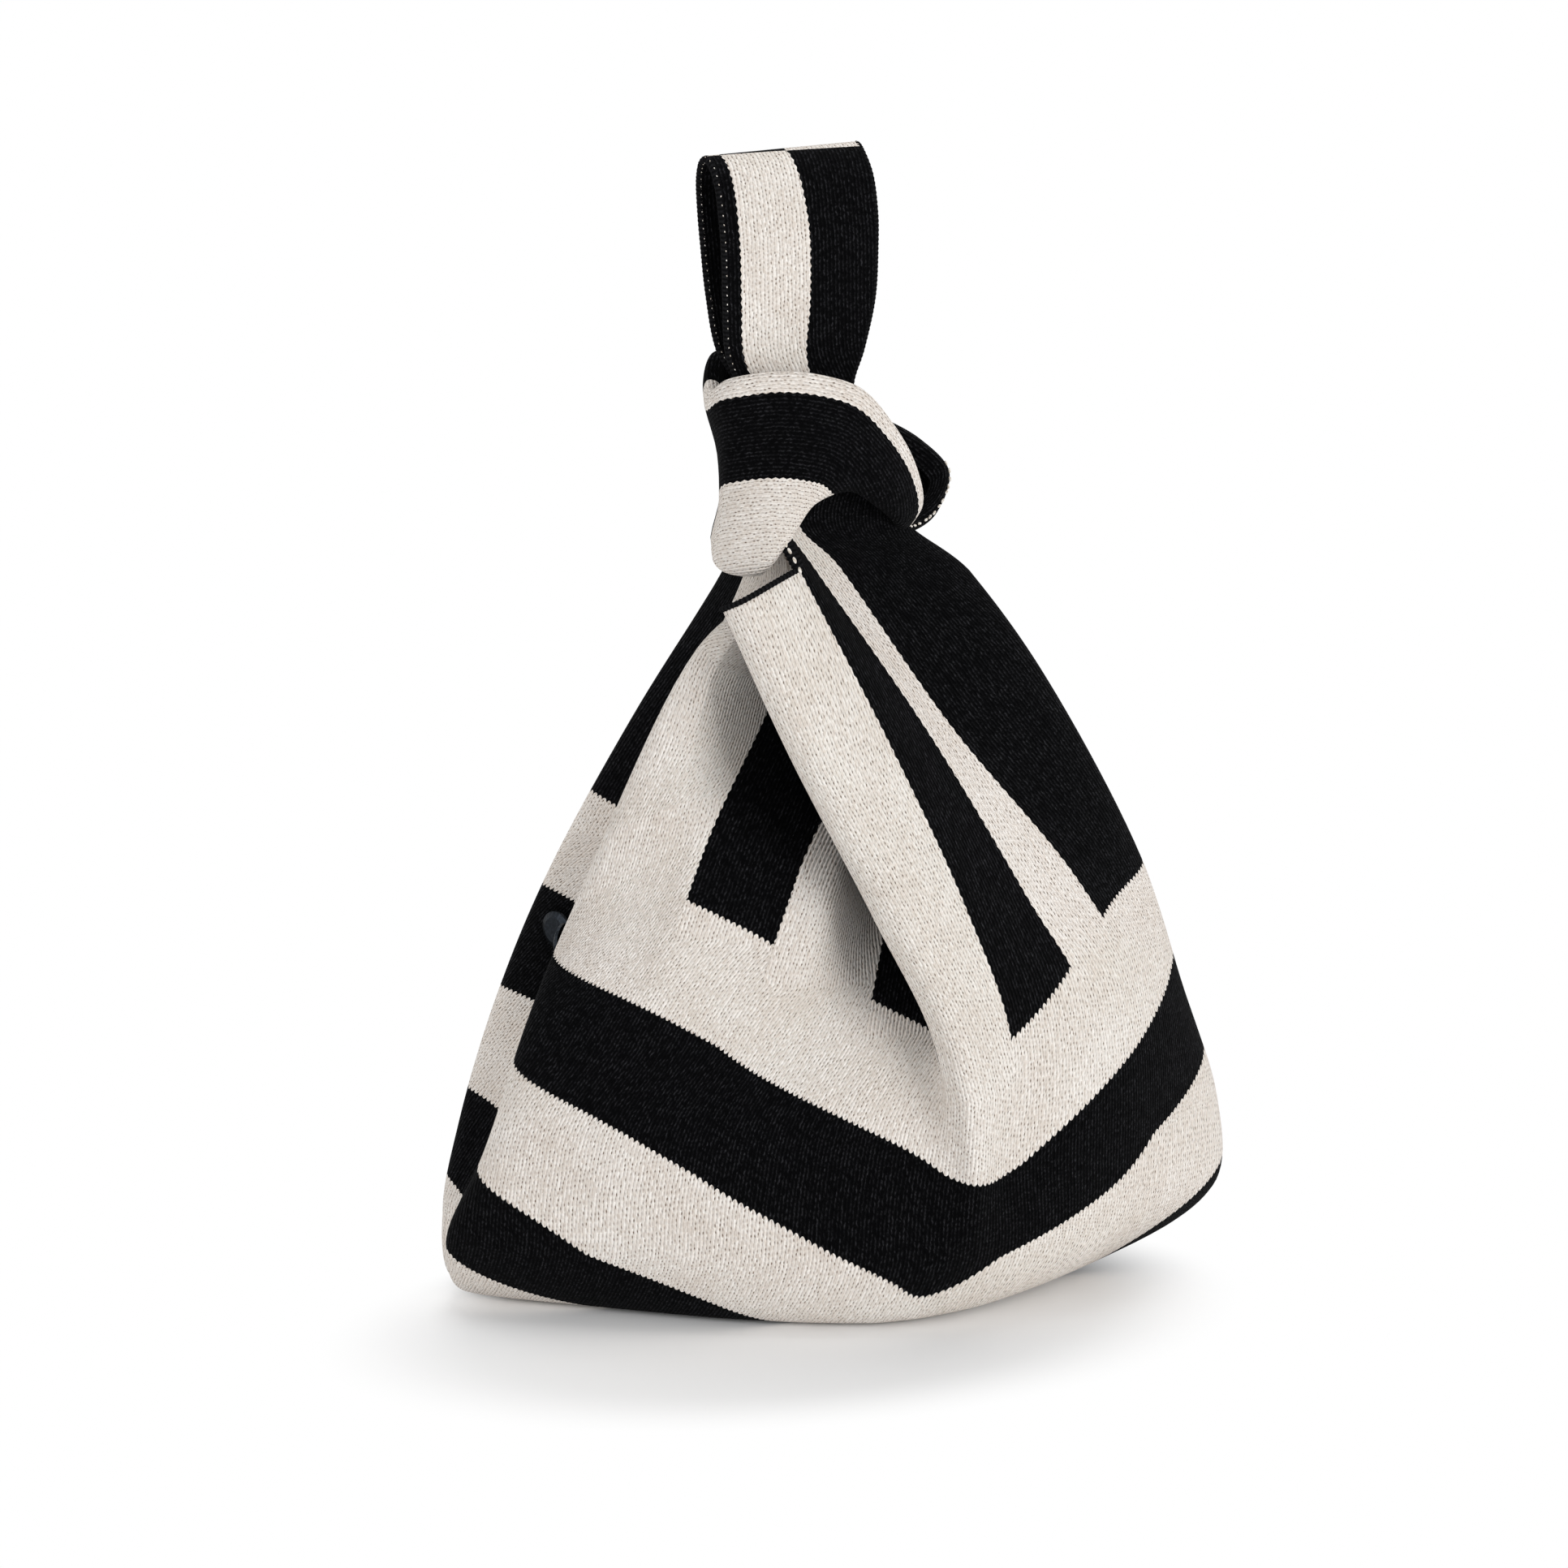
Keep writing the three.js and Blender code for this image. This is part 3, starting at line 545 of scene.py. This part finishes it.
# where the ribs go on above the neck, in mm: the left ones into the short loop,
# the right ones into the strap
frontAbove = {
    0: [(-27.5, 2, 212), (-28, 2, 224)], 1: [(-26.5, -8, 212), (-27, -5, 224)],
    2: [(-21, -13, 216), (-24, -7, 222)], 3: [(-18, -8.5, 215), (-18, -5, 220)],
    4: [(-15, -5.5, 213), (-14, -3, 218)],
    8: [(-24.5, -19, 219), (-29.5, -9.8, 240)], 9: [(-21.8, -16.2, 219), (-26.4, -10.2, 240)],
    10: [(-17.2, -14.6, 219), (-8, -10.5, 240)], 11: [(15, -6.5, 215), (-1, -9.4, 240)],
    12: [(13, -2, 217), (1.5, -8, 240)],
}
backAbove = {
    12: [(13, 3, 217), (1.5, 8, 232)], 13: [(9, 9, 224), (-1, 9.4, 232)],
    14: [(-4, 13, 224), (-10, 10.4, 232)], 15: [(-20, 11.5, 224), (-26.5, 7.6, 232)],
    16: [(-24, 11, 215), (-24, 8, 223)], 17: [(-26, 7.5, 212), (-25, 6, 222)],
    0: [(-27.5, 2, 212), (-28, 2, 224)],
}


def flatHeight(ends, z):
    # millimetres up the flat cloth at a height on a rib, in straight steps between the ends of its bands
    if z < ends[0]:
        return knit["band"] - (ends[0] - z) * (knit["band"] / (ends[1] - ends[0]))
    if z > ends[-1]:
        steep = knit["band"] / (ends[-1] - ends[-2])
        return bandTops[-1] + (z - ends[-1]) * min(steep, body["stretchMost"])
    return np.interp(z, ends, bandTops)


def ribStops(above):
    scale = np.array([body["width"] / 200, body["depth"] / 200, body["height"] / 100])
    wall = np.array(ribs, float) * scale
    floorRun = np.linalg.norm(np.diff(np.vstack([wall[:, 0], wall[:1, 0]]), axis=0), axis=1)
    front, back = np.cumsum(floorRun[:rightSeam]), np.cumsum(floorRun[rightSeam:])
    share = np.concatenate([[0], front / front[-1], 1 - back[:-1] / back[-1]])
    stops = []
    for k, rib in enumerate(wall):
        seam = np.array([(share[k] - 0.5) * body["seamLong"], body["seamY"], body["seamZ"]])
        edge = rib[0]
        away = np.linalg.norm(edge - seam)
        inset = edge + (seam - edge) * min(body["insetMost"], body["baseInset"] / away)
        inset[2] = 0.0
        bent = edge + [0, 0, body["edgeRise"]]
        start = flatHeight(bandEnds[k], 0)
        heights = [start - away, start - np.linalg.norm(edge - inset), start + body["edgeRise"]]
        heights += [flatHeight(bandEnds[k], stop[2]) for stop in rib[1:]]
        higher = above.get(k)
        if higher is None:
            higher = [rib[-1] + (rib[-1] - rib[-2]) * part for part in body["carryOn"]]
        points = np.vstack([[seam, inset, bent], rib[1:], higher])
        for j in range(len(heights), len(points)):
            heights.append(heights[-1] + np.linalg.norm(points[j] - points[j - 1]))
        stops.append(np.column_stack([points, heights]))
    stops = np.array(stops)
    numbers = np.append(np.arange(len(ribs)), list(shoulders))
    extra = []
    for number, (stop, place) in shoulders.items():
        rib = np.array([curveThrough(stops[:, j], number, True)[0] for j in range(stops.shape[1])])
        rib[stop, :3] = place
        extra.append(rib)
    order = np.argsort(numbers)
    return np.concatenate([stops, extra])[order], numbers[order]


def bodyGrid(above, firstRib, lastRib):
    stops, numbers = ribStops(above)
    lastStop = stops.shape[1] - 1
    rowAt = np.linspace(0, lastStop, lastStop * body["perStop"] + 1)
    # the band height follows each rib in straight steps, the place in smooth ones
    lines = []
    for rib in stops:
        line = curveThrough(rib[:, :3], rowAt)
        below = curveThrough(rib[:neckStop + 1, :3], np.minimum(rowAt, neckStop))
        line = np.where(rowAt[:, None] > neckStop, line, 0.5 * line + 0.5 * below)
        lines.append(np.column_stack([line, np.interp(rowAt, np.arange(lastStop + 1), rib[:, 3])]))
    lines = np.array(lines)
    columnAt = np.linspace(firstRib, lastRib, (lastRib - firstRib) * body["perRib"] + 1)
    ringAt = np.interp(
        columnAt % len(ribs), np.append(numbers, len(ribs)), np.arange(len(numbers) + 1))
    grid = np.array([curveThrough(lines[:, r], ringAt, True) for r in range(len(rowAt))])
    grid[..., 2] = np.maximum(grid[..., 2], 0.0)
    return grid[..., :3], grid[..., 3], rowAt, columnAt


def unevenness(columnAt, rowAt, seed):
    # a few long soft waves, none on the base or at the very top
    draw = np.random.default_rng(seed)
    total = np.zeros((len(rowAt), len(columnAt)))
    for _ in range(body["waves"]):
        a, b = draw.uniform(0.6, 2.4), draw.uniform(0.5, 2.0)
        wave = np.sin(a * columnAt[None] + draw.uniform(0, 6.3) + b * rowAt[:, None])
        total += wave * draw.uniform(0.3, 1)
    fade = np.clip(rowAt - 2, 0, 1) * np.clip((9.5 - rowAt) / 2, 0, 1)
    return total / 3 * body["wobble"] * fade[:, None]


def panel(name, above, firstRib, lastRib, bars, cut, anchorRib, seed):
    # bars holds the ribs at which the colour changes; the cloth before the first one is cream
    grid, along, rowAt, columnAt = bodyGrid(above, firstRib, lastRib)
    grid = grid + gridNormals(grid) * unevenness(columnAt, rowAt, seed)[..., None]
    grid[..., 2] = np.maximum(grid[..., 2], 0.0)
    run = runLength(grid.transpose(1, 0, 2)).T
    edges = [firstRib] + bars + [lastRib]

    def column(rib):
        return int(round((rib - firstRib) * body["perRib"]))

    anchor = column(anchorRib)
    left = np.zeros((len(rowAt), len(columnAt) - 1))
    right = np.zeros_like(left)
    nearest = np.full(run.shape, 1e3)
    black = np.zeros(run.shape, bool)
    for k in range(len(edges) - 1):
        start, end = column(edges[k]), column(edges[k + 1])
        # where the bars start, the stitches of each keep the count that they have there
        offset = run[:, start] - run[:, anchor]
        low = along[:, start] < (knit["bandCount"] - 0.2) * knit["band"]
        held = offset[np.nonzero(low)[0][-1]]
        offset = np.where(low, offset, held)
        left[:, start:end] = offset[:, None] + run[:, start:end] - run[:, start:start + 1]
        right[:, start:end] = offset[:, None] + run[:, start + 1:end + 1] - run[:, start:start + 1]
        black[:, start:end + 1] = k % 2 == 1
        if k > 0:
            nearest = np.minimum(nearest, np.abs(run - run[:, start:start + 1]))
    for k in range(1, len(edges) - 1):
        nearest[:, column(edges[k])] = 0.0
    keep = np.ones((len(rowAt) - 1, len(columnAt) - 1), bool)
    keep[neckStop * body["perStop"]:, column(cut[0]):column(cut[1])] = False
    made = clothShell(
        name, grid, (left, right), along, np.where(black, nearest, -nearest), body["fabric"], keep)
    return made, grid, column


frontBars = [2, 3, 4, 6, 8, 9, 10]
backBars = [13.4, 14, 14.5, 15, 15.5, 16, 16.6]
frontPanel, frontGrid, frontColumn = panel(
    "front_knit_panel", frontAbove, 0, rightSeam, frontBars, frontNeckRibs, anchorRib=8, seed=3)
backPanel, backGrid, backColumn = panel(
    "back_knit_panel", backAbove, rightSeam, len(ribs), backBars, backNeckRibs, anchorRib=15, seed=5)
for piece in (frontPanel, backPanel):
    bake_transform(piece)
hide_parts("front_panel", "short_loop_front_leg", "left_side_seam", "base_seam")
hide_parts("back_panel", "short_loop_back_leg", "right_side_seam", "long_strap_neck")
print("panels lofted")

# neckline hems: narrow rolled edges
neckHem = {
    "radius": 0.8, "strapRadius": 1.7,
    "stitchPitch": 2.6, "stitchLong": 1.9, "stitchWide": 0.9, "stitchFacing": (-0.3, -1.0, 0.3),
}
neckRow = neckStop * body["perStop"]
frontFirst, frontLast = [frontColumn(rib) for rib in frontNeckRibs]
backFirst, backLast = [backColumn(rib) for rib in backNeckRibs]
frontNeck = frontGrid[neckRow, frontFirst:frontLast + 1]
backNeck = backGrid[neckRow, backFirst:backLast + 1]
frontStrapEdge = frontGrid[neckRow:, frontLast]
backStrapEdge = backGrid[neckRow:, backFirst]
frontHem = hemTube("front_neckline_hem", frontNeck, neckHem["radius"])
backHem = hemTube("back_neckline_hem", backNeck, neckHem["radius"])
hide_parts("front_neck_hem")
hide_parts("back_neck_hem")
frontStrapHem = hemTube("front_strap_hem", frontStrapEdge, neckHem["strapRadius"], None)
backStrapHem = hemTube("back_strap_hem", backStrapEdge, neckHem["strapRadius"], None)
frontStrapStitches = stitchRow(
    "front_strap_stitches", frontStrapEdge, neckHem["stitchFacing"], neckHem["stitchPitch"],
    neckHem["stitchLong"], neckHem["stitchWide"], neckHem["strapRadius"], None)
for piece in (frontStrapHem, backStrapHem, frontStrapStitches):
    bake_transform(piece)
# flat sizes of all sheets are estimates at the chosen scale; the loop's and the handle's follow the mesh
print("necklines hemmed")

# short loop: a broad band that turns round the strap, its edges rolled in
loop = {
    "roll": 2.4, "tuck": 6.0,                        # mm, the rolled edges
    "topCream": 5.9, "endCream": 3.9, "black": 23.1,  # mm, stripes from the top edge down
    "start": -0.3, "apex": 8.0, "end": 14.7,         # stations; front and back half meet at the apex
    "narrowing": (4.0, 8.0),                         # stations between which the top stripe narrows
    "flatStart": 200.0,                              # mm up the flat cloth, past the bands
    "perStation": 12, "rows": 46, "middleRow": 24,   # mesh columns and rows
    "fabric": 1.8,
    "seamRows": slice(12, 36), "seamRadius": 0.8, "seamGap": 0.7,
    "stitchRow": 37, "stitchFrom": 2, "stitchTo": 2.4,     # a row, its first column and its last station
    "stitchPitch": 2.2, "stitchLong": 1.5, "stitchWide": 0.75, "stitchLift": 0.3,
    "stitchFacing": (0.3, -0.9, -0.2),
}
# top edge, bottom edge and bulge at each station in mm, from the left over the front to the right and back
stations = [
    ((-37.3, 2, 252.5), (-36.2, -1, 207), -1.3), ((-34.8, -10, 257.5), (-37.8, -13.5, 205), 0.3),
    ((-22.4, -15.5, 259.8), (-29, -21, 205.6), 2), ((-11, -16.5, 258.4), (-22, -22.5, 213.5), 3),
    ((0.5, -16, 254), (-14.5, -22, 223.8), 3), ((9.8, -13.8, 243.8), (-3.5, -20.5, 226.8), 3),
    ((17.3, -10.5, 231.5), (4.8, -18, 221.8), 2.5), ((20.8, -6, 219.5), (11.5, -12, 215.5), 1.5),
    ((18.5, -0.5, 211.5), (13.5, -4, 211), 1), ((29, 8, 213.2), (18, 8, 209.5), 1),
    ((34, 12.5, 223.5), (17, 14, 211), 1), ((26, 14.8, 233), (10, 17, 213), 1.5),
    ((9, 16.5, 242.5), (-3, 18.5, 213), 2), ((-15, 17, 255), (-18, 18.5, 210.5), 0.5),
    ((-33.4, 12, 260.8), (-31.5, 12.5, 207.5), -2.2),
]


def loopHalf(name, firstStation, lastStation, front):
    topStops = np.array([station[0] for station in stations], float)
    footStops = np.array([station[1] for station in stations], float)
    bulges = np.array([station[2] for station in stations] + [stations[0][2]], float)
    count = int((lastStation - firstStation) * loop["perStation"]) + 1
    at = np.linspace(firstStation, lastStation, count)
    ringAt = at % len(stations)
    top = curveThrough(topStops, ringAt, True)
    foot = curveThrough(footStops, ringAt, True)
    rise = unit(top - foot)
    tall = np.linalg.norm(top - foot, axis=1, keepdims=True)
    ahead = unit(np.gradient((top + foot) / 2, axis=0))
    out = unit(np.cross(ahead, rise))
    roll = np.minimum(loop["roll"], tall * 0.2)
    bulge = np.interp(ringAt, np.arange(len(bulges)), bulges)[:, None]
    tuck = np.minimum(loop["tuck"], tall * 0.4)
    lower = [
        foot - out * (roll * 1.6) + rise * tuck, foot - out * roll * 1.5 + rise * roll * 0.7,
        foot - out * roll * 0.6, foot + out * roll * 0.5 + rise * roll * 0.7,
        foot + out * bulge + rise * tall * 0.3, foot + out * bulge + rise * tall * 0.62,
        top + out * roll * 0.6 - rise * roll * 1.4,
    ]
    turned = [top - out * roll * 1.2 - rise * roll * 0.3, top - out * roll * 1.8 - rise * tuck]
    section = np.array(lower + [top] + turned)
    topStop = len(lower)
    rowAt = np.linspace(0, len(section) - 1, loop["rows"])
    grid = np.array([curveThrough(section[:, c], rowAt) for c in range(len(at))]).transpose(1, 0, 2)
    run = runLength(grid)
    crown = run[np.argmin(np.abs(rowAt - topStop))]
    across = np.abs(crown[None] - run)
    middle = runLength(grid[loop["middleRow"]])
    along = np.tile(loop["flatStart"] + middle, (len(rowAt), 1))
    fromFoot = loop["topCream"] + loop["black"] - across
    narrowed = np.interp(at, loop["narrowing"], (loop["topCream"], loop["endCream"]))
    face = 1 if front else -1
    bar = np.minimum(across - narrowed, fromFoot) * face
    bar[rowAt > topStop] = -knit["plain"] * face        # the edge that is rolled in keeps one colour
    made = clothShell(name, grid, (across[:, :-1], across[:, 1:]), along, bar, loop["fabric"])
    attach(made, "bag")
    return made, grid


loopFront, loopFrontGrid = loopHalf("short_loop_front_band", loop["start"], loop["apex"], True)
loopBack, loopBackGrid = loopHalf("short_loop_back_band", loop["apex"], loop["end"], False)
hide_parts("short_loop_front", "short_loop_front_hem")
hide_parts("short_loop_back", "short_loop_back_hem")
apexNormals = gridNormals(loopFrontGrid)[loop["seamRows"], -1]
apex = loopFrontGrid[loop["seamRows"], -1] - apexNormals * (loop["fabric"] + loop["seamGap"])
loopSeam = hemTube("short_loop_apex_seam", apex, loop["seamRadius"])
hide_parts("short_loop_seam")
# the back edge shows its stitches beside the front one
stitchEnd = int(loop["stitchTo"] * loop["perStation"])
loopStitches = stitchRow(
    "short_loop_back_stitches", loopBackGrid[loop["stitchRow"], loop["stitchFrom"]:stitchEnd],
    loop["stitchFacing"], loop["stitchPitch"], loop["stitchLong"], loop["stitchWide"], loop["stitchLift"])
print("short loop wound")

# handle: the long strap above the knot, front leg and back leg joined at the top
handle = {
    "fabric": 2.2, "across": 40, "along": 90,
    "tilt": 2.3,                                     # mm by which the right end of its top is higher
    "tiltFrom": 290, "tiltOver": 28,                 # mm, the height where the tilt starts and grows full
    "crown": 0.1,                                    # share by which the middle stands out from the depth
    "flatStart": 300,                                # mm up the flat cloth, past the bands
    "hemRadius": 1.2, "hemLumps": 0.06,
    "stitchPitch": 2.4, "stitchLong": 0.5, "stitchWide": 0.27,
    "stitchLift": 0.95,                              # in radii of the hem
    "leftFacing": (-0.1, -1.0, 0.0), "rightFacing": (-0.6, 0.8, 0.0),
    "turnIn": 9.5,                                   # mm of each edge turned to the inside
    "seamRadius": 1.0, "seamGap": 0.6,
}
# left edge, depth, height, right edge and the two ends of the cream bar in mm,
# from the front of the knot over the top to the back
handleRows = [
    (-25, -7.4, 226, 4, 3.4, 19), (-28.5, -8.6, 240, 1.5, 3.4, 19), (-30, -7, 253, 0, 3.4, 19.6),
    (-33.6, -6.4, 263, 3.2, 3.7, 21.4), (-34.9, -8.4, 277, 5.6, 3.9, 23),
    (-35.6, -9.9, 291, 5.9, 3.9, 23.3), (-36.2, -9.9, 300, 5.8, 3.9, 23.2),
    (-36.9, -8, 310, 4.9, 3.8, 22.4), (-37.5, -4.2, 315.6, 3.6, 3.5, 21.7),
    (-38.2, 0, 317.4, 3.3, 3.3, 21.5), (-38.6, 4.2, 315.6, 3.8, 3.5, 21.7), (-38.4, 8, 310, 5.2, 3.8, 22.4),
    (-37.6, 9.9, 300, 6.6, 3.9, 23.2), (-36.9, 9.9, 291, 6.6, 3.9, 23.3), (-35.8, 8.4, 277, 5.9, 3.9, 23),
    (-33.6, 6.4, 263, 3.3, 3.7, 21.4), (-28.4, 6.2, 253, 0, 3.4, 19.6), (-25.5, 7, 240, 1.5, 3.4, 19),
    (-23, 6.2, 226, 4, 3.4, 19),
]
seamAt = {"left": 8.9, "right": 8.35}                # where along those rows the legs are sewn together


def handleLeg(name, side):
    stops = np.array(handleRows, float)
    share = np.linspace(0, 1, handle["across"])
    if side > 0:
        share = share[::-1]
    ends = seamAt["left"] + (seamAt["right"] - seamAt["left"]) * share
    first = 0 if side < 0 else len(stops) - 1
    columns, barEnds = [], []
    for k in range(len(share)):
        rows = curveThrough(stops, np.linspace(first, ends[k], handle["along"]))
        x = rows[:, 0] + (rows[:, 3] - rows[:, 0]) * share[k]
        y = rows[:, 1] * (1 + handle["crown"] * (1 - (2 * share[k] - 1) ** 2))
        high = np.clip((rows[:, 2] - handle["tiltFrom"]) / handle["tiltOver"], 0, 1)
        z = rows[:, 2] + handle["tilt"] * (share[k] - 0.5) * high
        columns.append(np.stack([x, y, z], -1))
        barEnds.append(rows[:, 4:6])
    barEnds = np.array(barEnds).transpose(1, 0, 2)
    grid = np.array(columns).transpose(1, 0, 2)
    run = runLength(grid.transpose(1, 0, 2)).T
    across = run if side < 0 else run[:, -1:] - run
    length = runLength(grid[:, handle["across"] // 2])
    along = np.tile(handle["flatStart"] + length[:, None], (1, len(share)))
    bar = np.maximum(barEnds[..., 0] - across, across - barEnds[..., 1]) * -side
    # its edges are turned in, so they are black on both faces
    fromEdge = np.minimum(across, across.max(axis=1, keepdims=True) - across)
    inside = np.where(fromEdge < handle["turnIn"], -knit["plain"], bar)
    made = clothShell(
        name, grid, (across[:, :-1], across[:, 1:]), along, bar, handle["fabric"], None, inside)
    return made, grid


handleFront, handleFrontGrid = handleLeg("handle_front_leg_knit", -1)
handleBack, handleBackGrid = handleLeg("handle_back_leg_knit", 1)
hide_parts("handle_front_leg", "handle_gather")
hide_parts("handle_back_leg")
handleHems = {
    "handle_front_left_hem": (handleFrontGrid, 0), "handle_front_right_hem": (handleFrontGrid, -1),
    "handle_back_right_hem": (handleBackGrid, 0), "handle_back_left_hem": (handleBackGrid, -1),
}
handlePieces = [handleFront, handleBack]
for node, (grid, column) in handleHems.items():
    inward = gridNormals(grid)[:, column] * handle["fabric"] / 2
    path = grid[:, column] - inward
    roll = hemTube(node + "_roll", path, handle["hemRadius"], None, handle["hemLumps"])
    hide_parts(node)
    handlePieces.append(roll)
    facing = handle["leftFacing"] if node.endswith("left_hem") else handle["rightFacing"]
    stitches = stitchRow(
        node + "_stitches", path, facing, handle["stitchPitch"], handle["stitchLong"], handle["stitchWide"],
        handle["hemRadius"] * handle["stitchLift"], None)
    handlePieces.append(stitches)
seamDrop = np.array([0, 0, handle["fabric"] + handle["seamGap"]])
topRow = (handleFrontGrid[-1] + handleBackGrid[-1][::-1]) / 2 - seamDrop
topSeam = hemTube("handle_top_seam_ridge", topRow, handle["seamRadius"], None)
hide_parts("handle_top_seam")
handlePieces.append(topSeam)
for piece in handlePieces:
    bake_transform(piece)
print("handle sewn")

# snap fasteners keep their pressed shape and get the plating
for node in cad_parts:
    if "_snap_" in node:
        solid = bpy.data.objects[node]
        solid.data.materials.clear()
        solid.data.materials.append(snapMetal)
print("snaps plated")

# floor, light and camera
stageSet = {
    "floor": "#F6F6F6", "floorSize": 14.0,
    "fadeCentre": (-0.028, -0.042), "fadeHalf": (0.085, 0.052),     # m, an oval round the bag
    "fadeEnd": 1.55,                                 # ovals out at which the floor has gone to white
    "skyLight": 0.48, "lampAim": (0, 0, 0.12),
    "camera": (-0.40519, -1.41305, 0.536), "aim": (-0.01567, 0.00449, 0.1397),
    "lens": 126.06, "sensor": 36,                    # mm
    "clipEnd": 60,                                   # m
}
# place and size in m, power in W
softBoxes = {
    "key_softbox": ((1.15, -1.7, 0.6), 1.0, 20.5),
    "fill_softbox": ((-1.7, -0.7, 0.75), 1.2, 9.0),
    "top_softbox": ((0.1, 0.45, 2.0), 1.0, 12.0),
}


def paleFloor():
    material, tree = newMaterial("pale_matt_floor")
    place = add(tree, "TexCoord")
    grain = add(tree, "TexNoise", {"Vector": place.outputs["Object"], "Scale": 90.0, "Detail": 2.0})
    rough = add(tree, "MapRange", {"Value": grain, "To Min": 0.8, "To Max": 0.95})
    shader = add(tree, "BsdfPrincipled", {
        "Base Color": linear(stageSet["floor"]), "Roughness": rough, "Specular IOR Level": 0.1})
    # the backdrop: away from the bag the floor is seen as white, and it lights nothing
    (middleX, middleY), (halfX, halfY) = stageSet["fadeCentre"], stageSet["fadeHalf"]
    oval = add(
        tree, "VectorMath", {0: place.outputs["Object"], 1: (1 / halfX, 1 / halfY, 0.0),
                             2: (-middleX / halfX, -middleY / halfY, 0.0)}, operation="MULTIPLY_ADD")
    away = add(tree, "VectorMath", {0: oval}, operation="LENGTH")
    fade = add(
        tree, "MapRange",
        {"Value": away.outputs["Value"], "From Min": 1.0, "From Max": stageSet["fadeEnd"]},
        interpolation_type="SMOOTHSTEP")
    rays = add(tree, "LightPath")
    seen = add(tree, "Math", {0: fade, 1: rays.outputs["Is Camera Ray"]}, operation="MULTIPLY")
    white = add(tree, "Emission", {"Color": (1, 1, 1, 1), "Strength": 1.0})
    both = add(tree, "MixShader", {0: seen, 1: shader, 2: white})
    add(tree, "OutputMaterial", {"Surface": both})
    return material


def lookAt(thing, aim):
    thing.rotation_euler = (Vector(aim) - thing.location).to_track_quat("-Z", "Y").to_euler()


def softBox(name, place, size, power):
    lamp = bpy.data.lights.new(name, "AREA")
    lamp.size = size
    lamp.energy = power
    thing = bpy.data.objects.new(name, lamp)
    bpy.context.scene.collection.objects.link(thing)
    thing.location = place
    lookAt(thing, stageSet["lampAim"])


bpy.ops.mesh.primitive_plane_add(size=stageSet["floorSize"])
floor = bpy.context.object
floor.name = "pale_floor"
floor.data.materials.append(paleFloor())
for name, (place, size, power) in softBoxes.items():
    softBox(name, place, size, power)

world = bpy.data.worlds.new("studio")
bpy.context.scene.world = world
world.use_nodes = True
tree = world.node_tree
tree.nodes.clear()
rays = add(tree, "LightPath").outputs
seen = add(tree, "Math", {0: rays["Is Camera Ray"], 1: rays["Is Glossy Ray"]}, operation="MAXIMUM")
seenAll = add(tree, "Math", {0: seen, 1: rays["Is Transmission Ray"]}, operation="MAXIMUM")
soft = add(tree, "Background", {"Color": (1, 1, 1, 1), "Strength": stageSet["skyLight"]})
white = add(tree, "Background", {"Color": (1, 1, 1, 1), "Strength": 1.0})
both = add(tree, "MixShader", {0: seenAll, 1: soft, 2: white})
add(tree, "OutputWorld", {"Surface": both})

camera = bpy.data.objects.new("photo_camera", bpy.data.cameras.new("photo_camera"))
bpy.context.scene.collection.objects.link(camera)
camera.location = stageSet["camera"]
camera.data.sensor_width = stageSet["sensor"]
camera.data.lens = stageSet["lens"]
camera.data.clip_end = stageSet["clipEnd"]
lookAt(camera, stageSet["aim"])
bpy.context.scene.camera = camera
bpy.context.scene.view_settings.view_transform = "Standard"
print("stage set")
